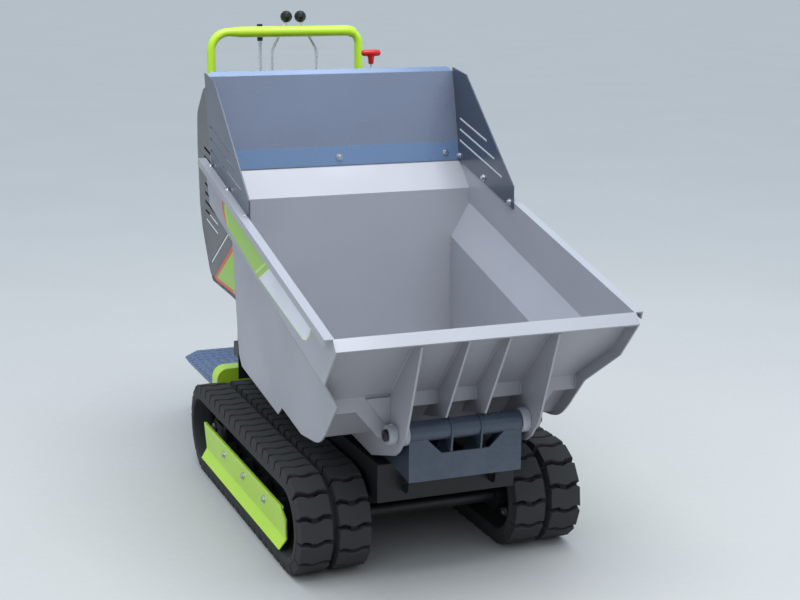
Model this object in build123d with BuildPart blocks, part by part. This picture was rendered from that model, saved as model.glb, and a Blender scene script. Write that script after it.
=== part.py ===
"""Tracked site dumper: rubber crawler tracks, a folded steel skip that tips forward, a walk-behind console.

Frame: +Z up from the ground, +X to the right seen from the tipping side, -Y is the way the skip tips.
Stations run along +Y and levels upwards, both from the drive sprocket's axle, so the machine rises with its tracks.
"""

import math
import os

from build123d import *

os.makedirs("parts", exist_ok=True)

# ---------------------------------------------------------------- driving dimensions, mm
OVERALL_LENGTH = 1925.0  # skip lip to the platform's rear edge
LIP_OVERHANG = 410.0  # skip lip ahead of the drive sprocket's axle
SHEET = 4.0  # skip sheet
PLATE = 6.0  # welded chassis plate
COVER = 2.5  # console and guard sheet
FIT = 0.3  # gap between faces that turn or seat on each other
RUNNING_GAP = 5.0  # least gap between bodies that move past each other

# Tracks and undercarriage
TRACK_WIDTH = 200.0
TRACK_OUTER_HALF = 397.5  # machine centre to a track's outer edge
WHEELBASE = 856.0
WHEEL_RADIUS = 92.0  # idler rim and sprocket root, where the belt runs
BELT_THICKNESS = 20.0
LUG_HEIGHT = 25.0
LUG_PITCHES = 33
LUG_WIDTH = 94.0
LUG_LENGTH = 52.0
LUG_TIP_LENGTH = 42.0
LUG_WAVE = 7.0  # how far the wavy edge of a lug swings
LUG_SINK = 2.0  # how far a lug's root reaches into the belt, so that it fuses on the turns too
TURN_STEPS = 10  # flats of the belt's half turn, between its steel cores
WHEEL_WIDTH = 90.0
IDLER_HUB_RADIUS = 34.0
SPROCKET_TEETH = 9
TOOTH_GAP_RADIUS = 12.0
AXLE_RADIUS = 17.5
ROLLER_RADIUS = 46.0
ROLLER_WIDTH = 110.0
ROLLER_COUNT = 4
ROLLER_GAP = 1.2  # end rollers clear of the frame's end blocks
BEAM_HEIGHT = 66.0
BEAM_WIDTH = 60.0
AXLE_TUBE_RADIUS = 17.5
MOTOR_RADIUS = 41.0
MOTOR_LENGTH = 42.0
MOTOR_BOLT_SPACING = 106.4  # two-bolt motor flange
FLANGE_EAR_RADIUS = 14.0
FLANGE_THICKNESS = 12.0
HUB_RADIUS = 52.0
FORK_LENGTH = 22.0
CROSS_BEAM_SIZE = 50.0
TRACK_GUARD_FRONT = 25.0
TRACK_GUARD_OVERRUN = 12.0  # how far the guard's top runs past the idler's axle
TRACK_GUARD_SLANT = 38.0  # its rear edge leans forward towards the ground
TRACK_GUARD_NOSE = (46.0, 22.0)  # length and height cut off its top front corner
TRACK_GUARD_TOP = 17.0
TRACK_GUARD_FOLD = -58.0
TRACK_GUARD_BOTTOM = -84.0
TRACK_GUARD_FLARE = 20.0
TRACK_GUARD_INSET = 15.0  # from the track's outer edge in to the guard's face
TRACK_GUARD_SHEET = 4.0
GUARD_BOLT_COUNT = 3
GUARD_BOLT_SETBACK = 51.8  # guard's end bolts, in from the end rollers' axles
GUARD_BOLT_LEVEL = -16.0
GUARD_SPACER_RADIUS = 8.0

# Chassis
CHASSIS_TRACK_GAP = 7.5  # chassis side to the track beside it
CHASSIS_FRONT = -140.0
CHASSIS_BOTTOM = 72.0
CHASSIS_DEPTH = 101.0
WELL_REAR = 560.0
BRACKET_INSET = 26.0  # bracket's side inside the outer rib's middle
BRACKET_LEAD = 19.0  # bracket's front plate ahead of the pin
BRACKET_REAR = -60.0
BRACKET_LAP = 14.0  # how far its front plate hangs below the chassis top
BRACKET_DROP = 16.0  # pin down to the bracket's top edge
NOTCH_TOP_HALF = 105.0
NOTCH_HALF = 65.0
NOTCH_DEPTH = 40.0
RAIL_FLANGE = 120.0  # top flange that runs in from each rail's web
BUMPER_HALF_WIDTH = 304.0
BUMPER_GAP = 7.0  # from the tracks' lugs to the bumper
BUMPER_DEPTH = 60.0
BUMPER_BOTTOM = 25.0
BUMPER_RISE = 118.0
BUMPER_CORNER = 38.0
TIE_HOLE_RADIUS = 9.0
TIE_LUG_RADIUS = 24.0
TIE_LUG_THICKNESS = 10.0
TIE_LUG_OFFSET = 120.0
REST_PAD_RADIUS = 11.0
REST_PAD_STATION = 470.0

# Tipping hinge
PIN_STATION = -239.0
PIN_LEVEL = 283.0
PIN_RADIUS = 15.0
HINGE_TUBE_RADIUS = 26.0
HINGE_TUBE_INSET = 28.0  # tube's end inside the outer rib's middle
COLLAR_RADIUS = 25.0
COLLAR_LENGTH = 22.0
PIN_END = 9.0  # pin past its collar
WASHER_RADIUS = 31.0
WEB_OFFSET = 40.0

# Skip
SKIP_HALF_WIDTH = 392.0  # outer face of the upright upper bands
LOWER_HALF_WIDTH = 334.0  # outer face of the lower side panels
FOLD_PITCH = 14.9  # degrees that the side folds rise to the rear
NOSE_SETBACK = 87.0  # lip back to the side sheets' nose, where the fold starts
FOLD_LEVEL = 450.0
FOLD_DROP = 100.0  # upper fold down to the lower fold
LIP_LENGTH = 22.0
LIP_DROP = 26.0
RIM_FRONT_LEVEL = 575.0
RIM_REAR_STATION = 743.0
RIM_REAR_LEVEL = 851.0
RIM_FLANGE = 20.0
RIM_LIP = 20.0
WALL_FOOT_STATION = -75.0
WALL_FOOT_LEVEL = 247.0
REAR_WALL_STATION = 612.0
FLOOR_RISE = 28.0
STRIP_FOOT_LEVEL = 743.0
STRIP_RUN = 68.0
STRIP_RISE = 75.0
STRIP_FLANGE = 45.0  # upright flange above the strip that the splash guard is bolted to
TOE_SETBACK = 102.0  # side sheets' toe ahead of the wall's foot
TOE_RISE = 48.0
LOBE_DROP = 16.0
SKIRT = 33.0  # side sheets below the floor's top face
SKIRT_RUN = 112.0
NOTCH_RUN = 277.0
NOTCH_SKIRT = 15.0
NOTCH_LENGTH = 37.0
REAR_SKIRT = 45.0
HEEL = (11.0, 14.0)  # side sheets' heel: behind the rear wall, above the floor
HEEL_CUT = 30.0
REAR_KNEE = (62.0, 227.0)  # rear edge's knee: behind the rear wall, below the rim's rear end
REAR_BEND = (85.0, 131.0)  # and the bend above it
LEDGE_LEAD = 128.0  # ledge ahead of the wall's foot
LEDGE_RISE = 91.0
OUTER_RIB_INSET = 12.0  # outer rib's middle inside the chassis side
INNER_RIB_OFFSET = 53.0
RIB_THICKNESS = 6.0
RIB_LIP_GAP = 8.0  # ribs stop short of the lip's edge
EAR_NOSE = (67.0, 13.0)  # ear's front corner: ahead of the pin, above it
EAR_TOE = (23.0, 38.0)  # front foot: ahead of the pin, below it
EAR_HEEL = (6.0, 57.0)  # rear foot: behind the pin, below it
BEAM_DROP = 68.0  # wall's foot down to the beam's lowest corner
BEAM_END_DROP = 52.0
BEAM_END_STATION = 540.0
BEAM_SLANT = 60.0
FIN_NOSE = (17.0, 33.0)  # inner ribs' lowest corner: ahead of the pin, above it
FIN_FOOT = 40.0
GUSSET_REACH = 65.0
GUSSET_FOOT = 16.0
GUSSET_TOP = 32.0  # above the ledge's lower edge
GUSSET_BOTTOM = 33.0
EAR_PLATE_REACH = 89.0
EAR_PLATE_FOOT = 29.0
EAR_PLATE_DEPTH = 72.0
GUARD_HALF_WIDTH = 378.0
GUARD_FOOT_GAP = 2.0  # splash guard's foot above the strip
GUARD_CREASE_STATION = 694.0
GUARD_CREASE_LEVEL = 875.0
GUARD_TOP_STATION = 741.0
GUARD_TOP_LEVEL = 1097.0
GUARD_FLANGE = 18.0
GUARD_BEVEL = 12.0
WING_FRONT_STATION = 300.0
WING_FRONT_RISE = 47.0  # above the rim
WING_SHOULDER = (103.0, 18.0)  # ahead of and below the guard's top
WING_LAP = 18.0  # how far a wing reaches below the rim
WING_SLOT_COUNT = 3
WING_SLOT_WIDTH = 7.0
WING_SLOT_FRONT = 376.0  # front end of the lowest slot
WING_SLOT_STAGGER = 53.0
WING_SLOT_REAR = 686.0
WING_SLOT_RISE = 44.0  # lowest slot above the rim
WING_SLOT_PITCH = 33.0

# Tipping cylinder, closed length between pins follows from the two pins
CYLINDER_BASE_SETBACK = 45.0
CYLINDER_BASE_RISE = 43.0
CYLINDER_EYE_STATION = 385.0
CYLINDER_EYE_DROP = 37.0  # below the floor's under face
BARREL_RADIUS = 30.0
ROD_RADIUS = 16.0
CYLINDER_PIN_RADIUS = 10.0
EYE_RADIUS = 22.0
EYE_WIDTH = 30.0
LUG_PLATE = 10.0
PIN_CLEARANCE = 1.0  # each side of the barrel's eye

# Console
CONSOLE_HALF_WIDTH = 300.0
CONSOLE_GAP = 6.0  # from the splash guard's flange to the console
CONSOLE_LENGTH = 417.0
CONSOLE_TOP = 1025.0
CONSOLE_FOOT = 415.0
CONSOLE_SHOULDER = 85.0
CONSOLE_BULGE = 12.0
CONSOLE_WAIST = 190.0  # top down to the widest point
CONSOLE_KNEE = (27.0, 161.0)  # ahead of the console's rear, above its foot
CONSOLE_HIP = (2.0, 238.0)
CONSOLE_HEEL = (118.0, 22.0)
CONSOLE_ROUND = 55.0  # radius of the panel's rear corners
LOUVER_ROWS = 9
LOUVER_PITCH = 28.2
LOUVER_LENGTH = 150.0
LOUVER_WIDTH = 9.0
LOUVER_SLOPE = 10.4  # degrees down towards the skip
LOUVER_SETBACK = 70.0  # rear ends ahead of the console's rear
LOUVER_BOTTOM = 196.0  # lowest slot above the console's foot
SLIT_LENGTH = 270.0
SLIT_SLOPE = 31.2
SLIT_SETBACK = 126.0
SLIT_RISE = 62.0
COWL_INSET = 30.0  # cowl inside the side panels
COWL_DROP = 30.0  # cowl's top below the side panels' top
COWL_SLOPE_RUN = 70.0
COWL_SLOPE_DROP = 65.0
COWL_REAR_HEIGHT = 315.0
ENGINE_WIDTH = 330.0
ENGINE_LENGTH = 270.0
ENGINE_HEIGHT = 400.0
ENGINE_CENTRE = -70.0  # to the left of the middle, beside the oil tank
ENGINE_SETBACK = 12.0
TANK_WIDTH = 110.0
TANK_LENGTH = 250.0
TANK_HEIGHT = 360.0
TANK_CENTRE = 170.0
HANDLE_RADIUS = 13.5
HANDLE_SETBACK = 18.0  # behind the console's rear
HANDLE_HALF_WIDTH = 247.0
HANDLE_LEVEL = 1186.0
HANDLE_FOOT = 775.0
HANDLE_BEND = 58.0
GRIP_RADIUS = 17.0
GRIP_LEFT = -150.0
GRIP_RIGHT = 184.0
GRIP_TAPER = 28.0
CLAMP_HEIGHT = 34.0
CLAMP_WIDTH = 40.0
LEVER_GAP = 10.0  # handle's grip to the levers behind it
LEVER_RADIUS = 5.0
LEVER_BEND_HEIGHT = 132.0  # up from the cowl's top to where a lever starts to lean
LEVER_TOP_HEIGHT = 222.0  # up from the cowl's top to the knob's neck
LEVER_BEND = 40.0
KNOB_RADIUS = 19.5
KNOB_FACES = 6  # bands of a knob from its foot to its top
ROD_LEVER_OFFSET = -77.0
ROD_LEVER_HEIGHT = 161.0
ROD_LEVER_RADIUS = 4.0
SLEEVE_RADIUS = 9.0
SLEEVE_LENGTH = 53.0
SHELF_HALF_WIDTH = 150.0  # shelf behind the cowl that carries the levers
SHELF_MARGIN = 25.0  # its rear edge behind the levers
SHELF_LIP = 20.0
CHOKE_SETBACK = 235.0  # from the console's front
CHOKE_OFFSET = 217.0
CHOKE_HEIGHT = 96.0
CHOKE_HALF_WIDTH = 31.0
CHOKE_BAR = 21.0
CHOKE_NECK_RADIUS = 10.0
CHOKE_NECK_SIDES = 8
CHOKE_ROD_RADIUS = 3.0

# Operator's platform
PLATFORM_HALF_WIDTH = 295.0
PLATFORM_GAP = 32.0  # behind the chassis
PLATFORM_LEVEL = 68.0
PLATFORM_THICKNESS = 5.0
PLATFORM_HEEL = 115.0
PLATFORM_CORNER = 55.0
PLATFORM_HEEL_RISE = 8.0
PLATFORM_PIN_RADIUS = 7.0
PLATFORM_PIN_GAP = 20.0
PLATFORM_PIN_DROP = 15.0
KNUCKLE_RADIUS = 12.0
KNUCKLE_LENGTH = 80.0
KNUCKLE_OFFSET = 180.0
PIN_EAR_WIDTH = 12.0

# ---------------------------------------------------------------- derived places
FRONT_AXLE_Y = -OVERALL_LENGTH / 2 + LIP_OVERHANG
AXLE_HEIGHT = LUG_HEIGHT + BELT_THICKNESS + WHEEL_RADIUS
TRACK_CENTRE = TRACK_OUTER_HALF - TRACK_WIDTH / 2
CHASSIS_HALF_WIDTH = TRACK_OUTER_HALF - TRACK_WIDTH - CHASSIS_TRACK_GAP
OUTER_RIB_OFFSET = CHASSIS_HALF_WIDTH - OUTER_RIB_INSET
BRACKET_HALF_WIDTH = OUTER_RIB_OFFSET - BRACKET_INSET
HINGE_TUBE_HALF = OUTER_RIB_OFFSET - HINGE_TUBE_INSET
BELT_RADIUS = WHEEL_RADIUS + BELT_THICKNESS
CHASSIS_TOP = CHASSIS_BOTTOM + CHASSIS_DEPTH
BUMPER_STATION = WHEELBASE + BELT_RADIUS + LUG_HEIGHT + BUMPER_GAP
CHASSIS_REAR = BUMPER_STATION + BUMPER_DEPTH
BUMPER_TOP = BUMPER_BOTTOM + BUMPER_RISE
BRACKET_FRONT = PIN_STATION - BRACKET_LEAD
BRACKET_TOP = PIN_LEVEL - BRACKET_DROP
NOTCH_FLOOR = BRACKET_TOP - NOTCH_DEPTH
LIP = (-LIP_OVERHANG, RIM_FRONT_LEVEL - LIP_DROP)
RIM_FRONT = (LIP[0] + LIP_LENGTH, RIM_FRONT_LEVEL)
RIM_REAR = (RIM_REAR_STATION, RIM_REAR_LEVEL)
NOSE = (LIP[0] + NOSE_SETBACK, FOLD_LEVEL)
WALL_FOOT = (WALL_FOOT_STATION, WALL_FOOT_LEVEL)
FLOOR_REAR = (REAR_WALL_STATION, WALL_FOOT_LEVEL + FLOOR_RISE)
STRIP_FOOT = (REAR_WALL_STATION, STRIP_FOOT_LEVEL)
STRIP_TOP = (STRIP_FOOT[0] + STRIP_RUN, STRIP_FOOT[1] + STRIP_RISE)
LEDGE = (WALL_FOOT_STATION - LEDGE_LEAD, WALL_FOOT_LEVEL + LEDGE_RISE)
CONSOLE_FRONT = GUARD_TOP_STATION + GUARD_FLANGE + CONSOLE_GAP
CONSOLE_REAR = CONSOLE_FRONT + CONSOLE_LENGTH
ENGINE_STATION = CONSOLE_FRONT + ENGINE_SETBACK + ENGINE_LENGTH / 2
COWL_TOP = CONSOLE_TOP - COWL_DROP
HANDLE_STATION = CONSOLE_REAR + HANDLE_SETBACK
LEVER_STATION = HANDLE_STATION + GRIP_RADIUS + LEVER_GAP + LEVER_RADIUS
CHOKE_STATION = CONSOLE_FRONT + CHOKE_SETBACK
PLATFORM_FRONT = CHASSIS_REAR + PLATFORM_GAP
PLATFORM_REAR = OVERALL_LENGTH - LIP_OVERHANG
PLATFORM_PIN = (CHASSIS_REAR + PLATFORM_PIN_GAP, PLATFORM_LEVEL - PLATFORM_PIN_DROP)
RIM_PITCH = math.degrees(math.atan2(RIM_REAR[1] - RIM_FRONT[1], RIM_REAR[0] - RIM_FRONT[0]))
FAR = 3 * OVERALL_LENGTH


def side(x=0.0):
    """Plane across the machine at x: its own x is the station, its own y the level."""
    return Plane(origin=(x, FRONT_AXLE_Y, AXLE_HEIGHT), x_dir=(0, 1, 0), z_dir=(1, 0, 0))


def front(station):
    """Plane facing the tipping side at a station: its own x is X, its own y the level."""
    return Plane(origin=(0, FRONT_AXLE_Y + station, AXLE_HEIGHT), x_dir=(1, 0, 0), z_dir=(0, -1, 0))


def rim_level(station):
    """Level of the side sheets' top edge at a station."""
    return RIM_FRONT[1] + (station - RIM_FRONT[0]) * math.tan(math.radians(RIM_PITCH))


def mirrored(piece):
    """The same piece on the other side of the machine."""
    return mirror(piece, about=Plane.YZ)


pieces = {}  # node name to finished piece

# ---------------------------------------------------------------- tracks
# A straight belt run each way and a half turn at each end, then the wavy lugs stand on it in two staggered rows
track_length = 2 * WHEELBASE + 2 * math.pi * BELT_RADIUS


# on the turns the lugs sit a little deeper, so that their tips' ends stay within the run's height
turn_lug_radius = math.sqrt((BELT_RADIUS + LUG_HEIGHT) ** 2 - (LUG_TIP_LENGTH / 2 + LUG_WAVE) ** 2) - LUG_HEIGHT


def belt_plane(distance):
    """Plane under a lug at a distance along the belt, its z pointing out, its x across the machine."""
    arc = math.pi * BELT_RADIUS
    distance %= track_length
    if distance < WHEELBASE:  # top run, towards the rear
        station, level, angle = distance, BELT_RADIUS, 90.0
    elif distance < WHEELBASE + arc:  # round the idler
        angle = 90.0 - math.degrees((distance - WHEELBASE) / BELT_RADIUS)
        station = WHEELBASE + turn_lug_radius * math.cos(math.radians(angle))
        level = turn_lug_radius * math.sin(math.radians(angle))
    elif distance < 2 * WHEELBASE + arc:  # bottom run, towards the front
        station = WHEELBASE - (distance - WHEELBASE - arc)
        level, angle = -BELT_RADIUS, -90.0
    else:  # round the sprocket
        angle = -90.0 - math.degrees((distance - 2 * WHEELBASE - arc) / BELT_RADIUS)
        station = turn_lug_radius * math.cos(math.radians(angle))
        level = turn_lug_radius * math.sin(math.radians(angle))
    outward = (0, math.cos(math.radians(angle)), math.sin(math.radians(angle)))
    return Plane(origin=(0, FRONT_AXLE_Y + station, AXLE_HEIGHT + level), x_dir=(1, 0, 0), z_dir=outward)


def belt_loop(radius):
    """Corners of the closed belt at a radius round the wheels, with flats on its half turns."""
    turns = ((WHEELBASE, 90.0), (0.0, -90.0))  # wheel's station, angle at which its half turn starts
    corners = []
    for station, start in turns:
        for step in range(TURN_STEPS + 1):
            angle = math.radians(start - 180.0 * step / TURN_STEPS)
            corners.append((station + radius * math.cos(angle), radius * math.sin(angle)))
    return corners


with BuildPart() as lug:
    # both edges of a lug swing forward and back across its width
    swings = ((-1 / 2, 0.0), (-1 / 8, LUG_WAVE), (1 / 2, -LUG_WAVE / 2))  # share of the width, swing
    for (share, swing), (next_share, next_swing) in zip(swings, swings[1:]):
        with BuildSketch(Plane(origin=(share * LUG_WIDTH, swing, 0), x_dir=(0, 1, 0), z_dir=(1, 0, 0))):
            with BuildLine():
                Polyline(
                    (-LUG_LENGTH / 2, -LUG_SINK),
                    (LUG_LENGTH / 2, -LUG_SINK),
                    (LUG_TIP_LENGTH / 2, LUG_HEIGHT),
                    (-LUG_TIP_LENGTH / 2, LUG_HEIGHT),
                    close=True,
                )
            make_face()
        run = Vector((next_share - share) * LUG_WIDTH, next_swing - swing, 0)
        extrude(amount=run.length, dir=run.normalized())

with BuildPart() as track_left:
    with BuildSketch(side(-TRACK_OUTER_HALF)):
        Polygon(*belt_loop(BELT_RADIUS), align=None)
        Polygon(*belt_loop(WHEEL_RADIUS), align=None, mode=Mode.SUBTRACT)
    extrude(amount=TRACK_WIDTH)
    lug_places = []
    for row, across in enumerate((-TRACK_CENTRE - TRACK_WIDTH / 4, -TRACK_CENTRE + TRACK_WIDTH / 4)):
        for number in range(LUG_PITCHES):
            place = belt_plane((number + row / 2) * track_length / LUG_PITCHES)
            lug_places.append(Plane(origin=place.origin + (across, 0, 0), x_dir=place.x_dir, z_dir=place.z_dir))
    with Locations(*lug_places):
        add(lug.part)
pieces["track_left"] = track_left.part
pieces["track_right"] = mirrored(track_left.part)

wheel_seat = WHEEL_RADIUS * math.cos(math.radians(90.0 / TURN_STEPS)) - FIT  # clear of the belt's flats
with BuildPart() as idlers:
    with BuildSketch(side(-TRACK_CENTRE - WHEEL_WIDTH / 2)):
        with Locations((WHEELBASE, 0)):
            Circle(wheel_seat)
            Circle(AXLE_RADIUS + FIT, mode=Mode.SUBTRACT)
    extrude(amount=WHEEL_WIDTH)
    with BuildSketch(side(-TRACK_CENTRE - WHEEL_WIDTH / 2), side(-TRACK_CENTRE + WHEEL_WIDTH / 2)):
        with Locations((WHEELBASE, 0)):
            Circle(WHEEL_RADIUS - BELT_THICKNESS)
            Circle(IDLER_HUB_RADIUS, mode=Mode.SUBTRACT)
    extrude(amount=WHEEL_WIDTH / 3, both=True, mode=Mode.SUBTRACT)
    mirror(about=Plane.YZ)
pieces["idlers"] = idlers.part

with BuildPart() as sprockets:
    with BuildSketch(side(-TRACK_CENTRE - WHEEL_WIDTH / 6)):
        Circle(wheel_seat)
        with PolarLocations(WHEEL_RADIUS, SPROCKET_TEETH):
            Circle(TOOTH_GAP_RADIUS, mode=Mode.SUBTRACT)
    extrude(amount=WHEEL_WIDTH / 3)
    with BuildSketch(side(-TRACK_CENTRE - WHEEL_WIDTH / 2)):
        Circle(HUB_RADIUS)
    extrude(amount=WHEEL_WIDTH)
    mirror(about=Plane.YZ)
pieces["sprockets"] = sprockets.part

beam_front = WHEEL_RADIUS + 2 * RUNNING_GAP
end_roller = beam_front + FORK_LENGTH + ROLLER_RADIUS + ROLLER_GAP  # station of the first one's axle
roller_pitch = (WHEELBASE - 2 * end_roller) / (ROLLER_COUNT - 1)
roller_level = ROLLER_RADIUS + FIT - WHEEL_RADIUS
disc_width = (ROLLER_WIDTH - BEAM_WIDTH) / 2 - PLATE
with BuildPart() as track_rollers:
    for start, width, radius in (
        (-ROLLER_WIDTH / 2, disc_width, ROLLER_RADIUS),
        (ROLLER_WIDTH / 2 - disc_width, disc_width, ROLLER_RADIUS),
        (-ROLLER_WIDTH / 2, ROLLER_WIDTH, AXLE_RADIUS),
    ):
        with BuildSketch(side(-TRACK_CENTRE + start)):
            with Locations((WHEELBASE / 2, roller_level)):
                with GridLocations(roller_pitch, 1, ROLLER_COUNT, 1):
                    Circle(radius)
        extrude(amount=width)
    mirror(about=Plane.YZ)
pieces["track_rollers"] = track_rollers.part

# Track frames: a box beam between the rollers, a fork round the idler at its rear, the motor's plate at its front
beam_rear = WHEELBASE - WHEEL_RADIUS - 2 * RUNNING_GAP
fork_outer = WHEEL_WIDTH / 2 + PLATE + FIT
with BuildPart() as track_frame_left:
    with BuildSketch(side(-TRACK_CENTRE - BEAM_WIDTH / 2)):
        with Locations(((beam_front + beam_rear) / 2, 0)):
            Rectangle(beam_rear - beam_front, BEAM_HEIGHT)
        with Locations((WHEELBASE / 2, roller_level)):
            with GridLocations(roller_pitch, 1, ROLLER_COUNT, 1):
                Circle(AXLE_RADIUS + FIT, mode=Mode.SUBTRACT)
    extrude(amount=BEAM_WIDTH)
    with BuildSketch(side(-TRACK_CENTRE - fork_outer)):
        with Locations((beam_rear - FORK_LENGTH / 2, 0)):
            Rectangle(FORK_LENGTH, BEAM_HEIGHT)
    extrude(amount=2 * fork_outer)
    with BuildSketch(side(-TRACK_CENTRE - fork_outer), side(-TRACK_CENTRE + fork_outer - PLATE)):
        with Locations(((beam_rear + WHEELBASE) / 2, 0)):
            SlotCenterToCenter(WHEELBASE - beam_rear, 2 * AXLE_RADIUS + 2 * PLATE)
    extrude(amount=PLATE)
    with BuildSketch(side(-TRACK_CENTRE - fork_outer)):
        with Locations((WHEELBASE, 0)):
            Circle(AXLE_RADIUS)
    extrude(amount=2 * fork_outer)
    with BuildSketch(side(-TRACK_CENTRE + WHEEL_WIDTH / 2 + FIT)):
        Circle(MOTOR_BOLT_SPACING / 2 + FLANGE_EAR_RADIUS)
        with Locations(((beam_front + FORK_LENGTH) / 2, 0)):
            Rectangle(beam_front + FORK_LENGTH, BEAM_HEIGHT)
    extrude(amount=PLATE)
    with BuildSketch(side(-TRACK_CENTRE)):
        with Locations((beam_front + FORK_LENGTH / 2, 0)):
            Rectangle(FORK_LENGTH, BEAM_HEIGHT)
    extrude(amount=fork_outer)
pieces["track_frame_left"] = track_frame_left.part
pieces["track_frame_right"] = mirrored(track_frame_left.part)

# Green guards over the rollers: upright above, flared out below, their corners cut
guard_face = TRACK_OUTER_HALF - TRACK_GUARD_INSET
guard_rear = WHEELBASE + TRACK_GUARD_OVERRUN
guard_bolt_pitch = ((ROLLER_COUNT - 1) * roller_pitch - 2 * GUARD_BOLT_SETBACK) / (GUARD_BOLT_COUNT - 1)
with BuildPart() as track_guard_left:
    with BuildSketch(front(TRACK_GUARD_FRONT)):
        with BuildLine():
            Polyline(
                (-guard_face, TRACK_GUARD_TOP),
                (-guard_face, TRACK_GUARD_FOLD),
                (-guard_face - TRACK_GUARD_FLARE, TRACK_GUARD_BOTTOM),
                (-guard_face - TRACK_GUARD_FLARE + TRACK_GUARD_SHEET, TRACK_GUARD_BOTTOM),
                (-guard_face + TRACK_GUARD_SHEET, TRACK_GUARD_FOLD),
                (-guard_face + TRACK_GUARD_SHEET, TRACK_GUARD_TOP),
                close=True,
            )
        make_face()
    extrude(amount=TRACK_GUARD_FRONT - guard_rear)
    with BuildSketch(side(-TRACK_OUTER_HALF - TRACK_GUARD_FLARE)):
        with BuildLine():
            Polyline(
                (TRACK_GUARD_FRONT, TRACK_GUARD_BOTTOM),
                (TRACK_GUARD_FRONT, TRACK_GUARD_TOP - TRACK_GUARD_NOSE[1]),
                (TRACK_GUARD_FRONT + TRACK_GUARD_NOSE[0], TRACK_GUARD_TOP),
                (guard_rear, TRACK_GUARD_TOP),
                (guard_rear - TRACK_GUARD_SLANT, TRACK_GUARD_BOTTOM),
                close=True,
            )
        make_face()
    extrude(amount=TRACK_WIDTH, mode=Mode.INTERSECT)
    with BuildSketch(side(-guard_face + TRACK_GUARD_SHEET)):
        with Locations((WHEELBASE / 2, GUARD_BOLT_LEVEL)):
            with GridLocations(guard_bolt_pitch, 1, GUARD_BOLT_COUNT, 1):
                Circle(GUARD_SPACER_RADIUS)
    extrude(amount=guard_face - TRACK_GUARD_SHEET - TRACK_CENTRE - BEAM_WIDTH / 2 - FIT)
pieces["track_guard_left"] = track_guard_left.part
pieces["track_guard_right"] = mirrored(track_guard_left.part)

# Hydraulic drive motors on two-bolt flanges, joined by the axle tube
flange_outer = TRACK_CENTRE - WHEEL_WIDTH / 2 - FIT - PLATE
with BuildPart() as drive_motors:
    with BuildSketch(side(-flange_outer)):
        Circle(MOTOR_RADIUS)
        with Locations(Rotation(0, 0, 90)):
            SlotCenterToCenter(MOTOR_BOLT_SPACING, 2 * FLANGE_EAR_RADIUS)
    extrude(amount=FLANGE_THICKNESS)
    with BuildSketch(side(-flange_outer + FLANGE_THICKNESS)):
        Circle(MOTOR_RADIUS)
    extrude(amount=MOTOR_LENGTH)
    mirror(about=Plane.YZ)
pieces["drive_motors"] = drive_motors.part

axle_tube_half = flange_outer - FLANGE_THICKNESS - MOTOR_LENGTH
with BuildPart() as axle_tube:
    with BuildSketch(side(-axle_tube_half)):
        Circle(AXLE_TUBE_RADIUS)
    extrude(amount=2 * axle_tube_half)
pieces["axle_tube"] = axle_tube.part

# ---------------------------------------------------------------- chassis
with BuildPart() as chassis_rails:
    with BuildSketch(front(CHASSIS_FRONT + PLATE)):
        with BuildLine():
            Polyline(
                (-CHASSIS_HALF_WIDTH, CHASSIS_BOTTOM),
                (-CHASSIS_HALF_WIDTH + PLATE, CHASSIS_BOTTOM),
                (-CHASSIS_HALF_WIDTH + PLATE, CHASSIS_TOP - PLATE),
                (-CHASSIS_HALF_WIDTH + RAIL_FLANGE, CHASSIS_TOP - PLATE),
                (-CHASSIS_HALF_WIDTH + RAIL_FLANGE, CHASSIS_TOP),
                (-CHASSIS_HALF_WIDTH, CHASSIS_TOP),
                close=True,
            )
        make_face()
    extrude(amount=-(CHASSIS_REAR - CHASSIS_FRONT - 2 * PLATE))
    mirror(about=Plane.YZ)
pieces["chassis_rails"] = chassis_rails.part

tie_lug_level = (CHASSIS_BOTTOM + CHASSIS_TOP) / 2
tie_lug_station = CHASSIS_FRONT - TIE_LUG_RADIUS
with BuildPart() as chassis_ends:
    with BuildSketch(front(CHASSIS_FRONT), front(CHASSIS_REAR - PLATE)):
        with Locations((0, (CHASSIS_BOTTOM + CHASSIS_TOP) / 2)):
            Rectangle(2 * CHASSIS_HALF_WIDTH, CHASSIS_TOP - CHASSIS_BOTTOM)
    extrude(amount=-PLATE)
    lug_starts = (-TIE_LUG_OFFSET - TIE_LUG_THICKNESS / 2, TIE_LUG_OFFSET - TIE_LUG_THICKNESS / 2)
    with BuildSketch(*[side(x) for x in lug_starts]):
        with Locations((tie_lug_station, tie_lug_level)):
            Circle(TIE_LUG_RADIUS)
        with Locations((tie_lug_station + TIE_LUG_RADIUS / 2, tie_lug_level)):
            Rectangle(TIE_LUG_RADIUS, 2 * TIE_LUG_RADIUS)
        with Locations((tie_lug_station, tie_lug_level)):
            Circle(TIE_HOLE_RADIUS, mode=Mode.SUBTRACT)
    extrude(amount=TIE_LUG_THICKNESS)
pieces["chassis_ends"] = chassis_ends.part

with BuildPart() as belly_plate:
    with BuildSketch(front(CHASSIS_FRONT + PLATE)):
        with Locations((0, CHASSIS_BOTTOM + PLATE / 2)):
            Rectangle(2 * (CHASSIS_HALF_WIDTH - PLATE), PLATE)
    extrude(amount=-(CHASSIS_REAR - CHASSIS_FRONT - 2 * PLATE))
pieces["belly_plate"] = belly_plate.part

with BuildPart() as deck_plate:
    with BuildSketch(front(WELL_REAR)):
        with Locations((0, CHASSIS_TOP - PLATE / 2)):
            Rectangle(2 * (CHASSIS_HALF_WIDTH - RAIL_FLANGE), PLATE)
    extrude(amount=-(CHASSIS_REAR - PLATE - WELL_REAR))
pieces["deck_plate"] = deck_plate.part

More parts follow.
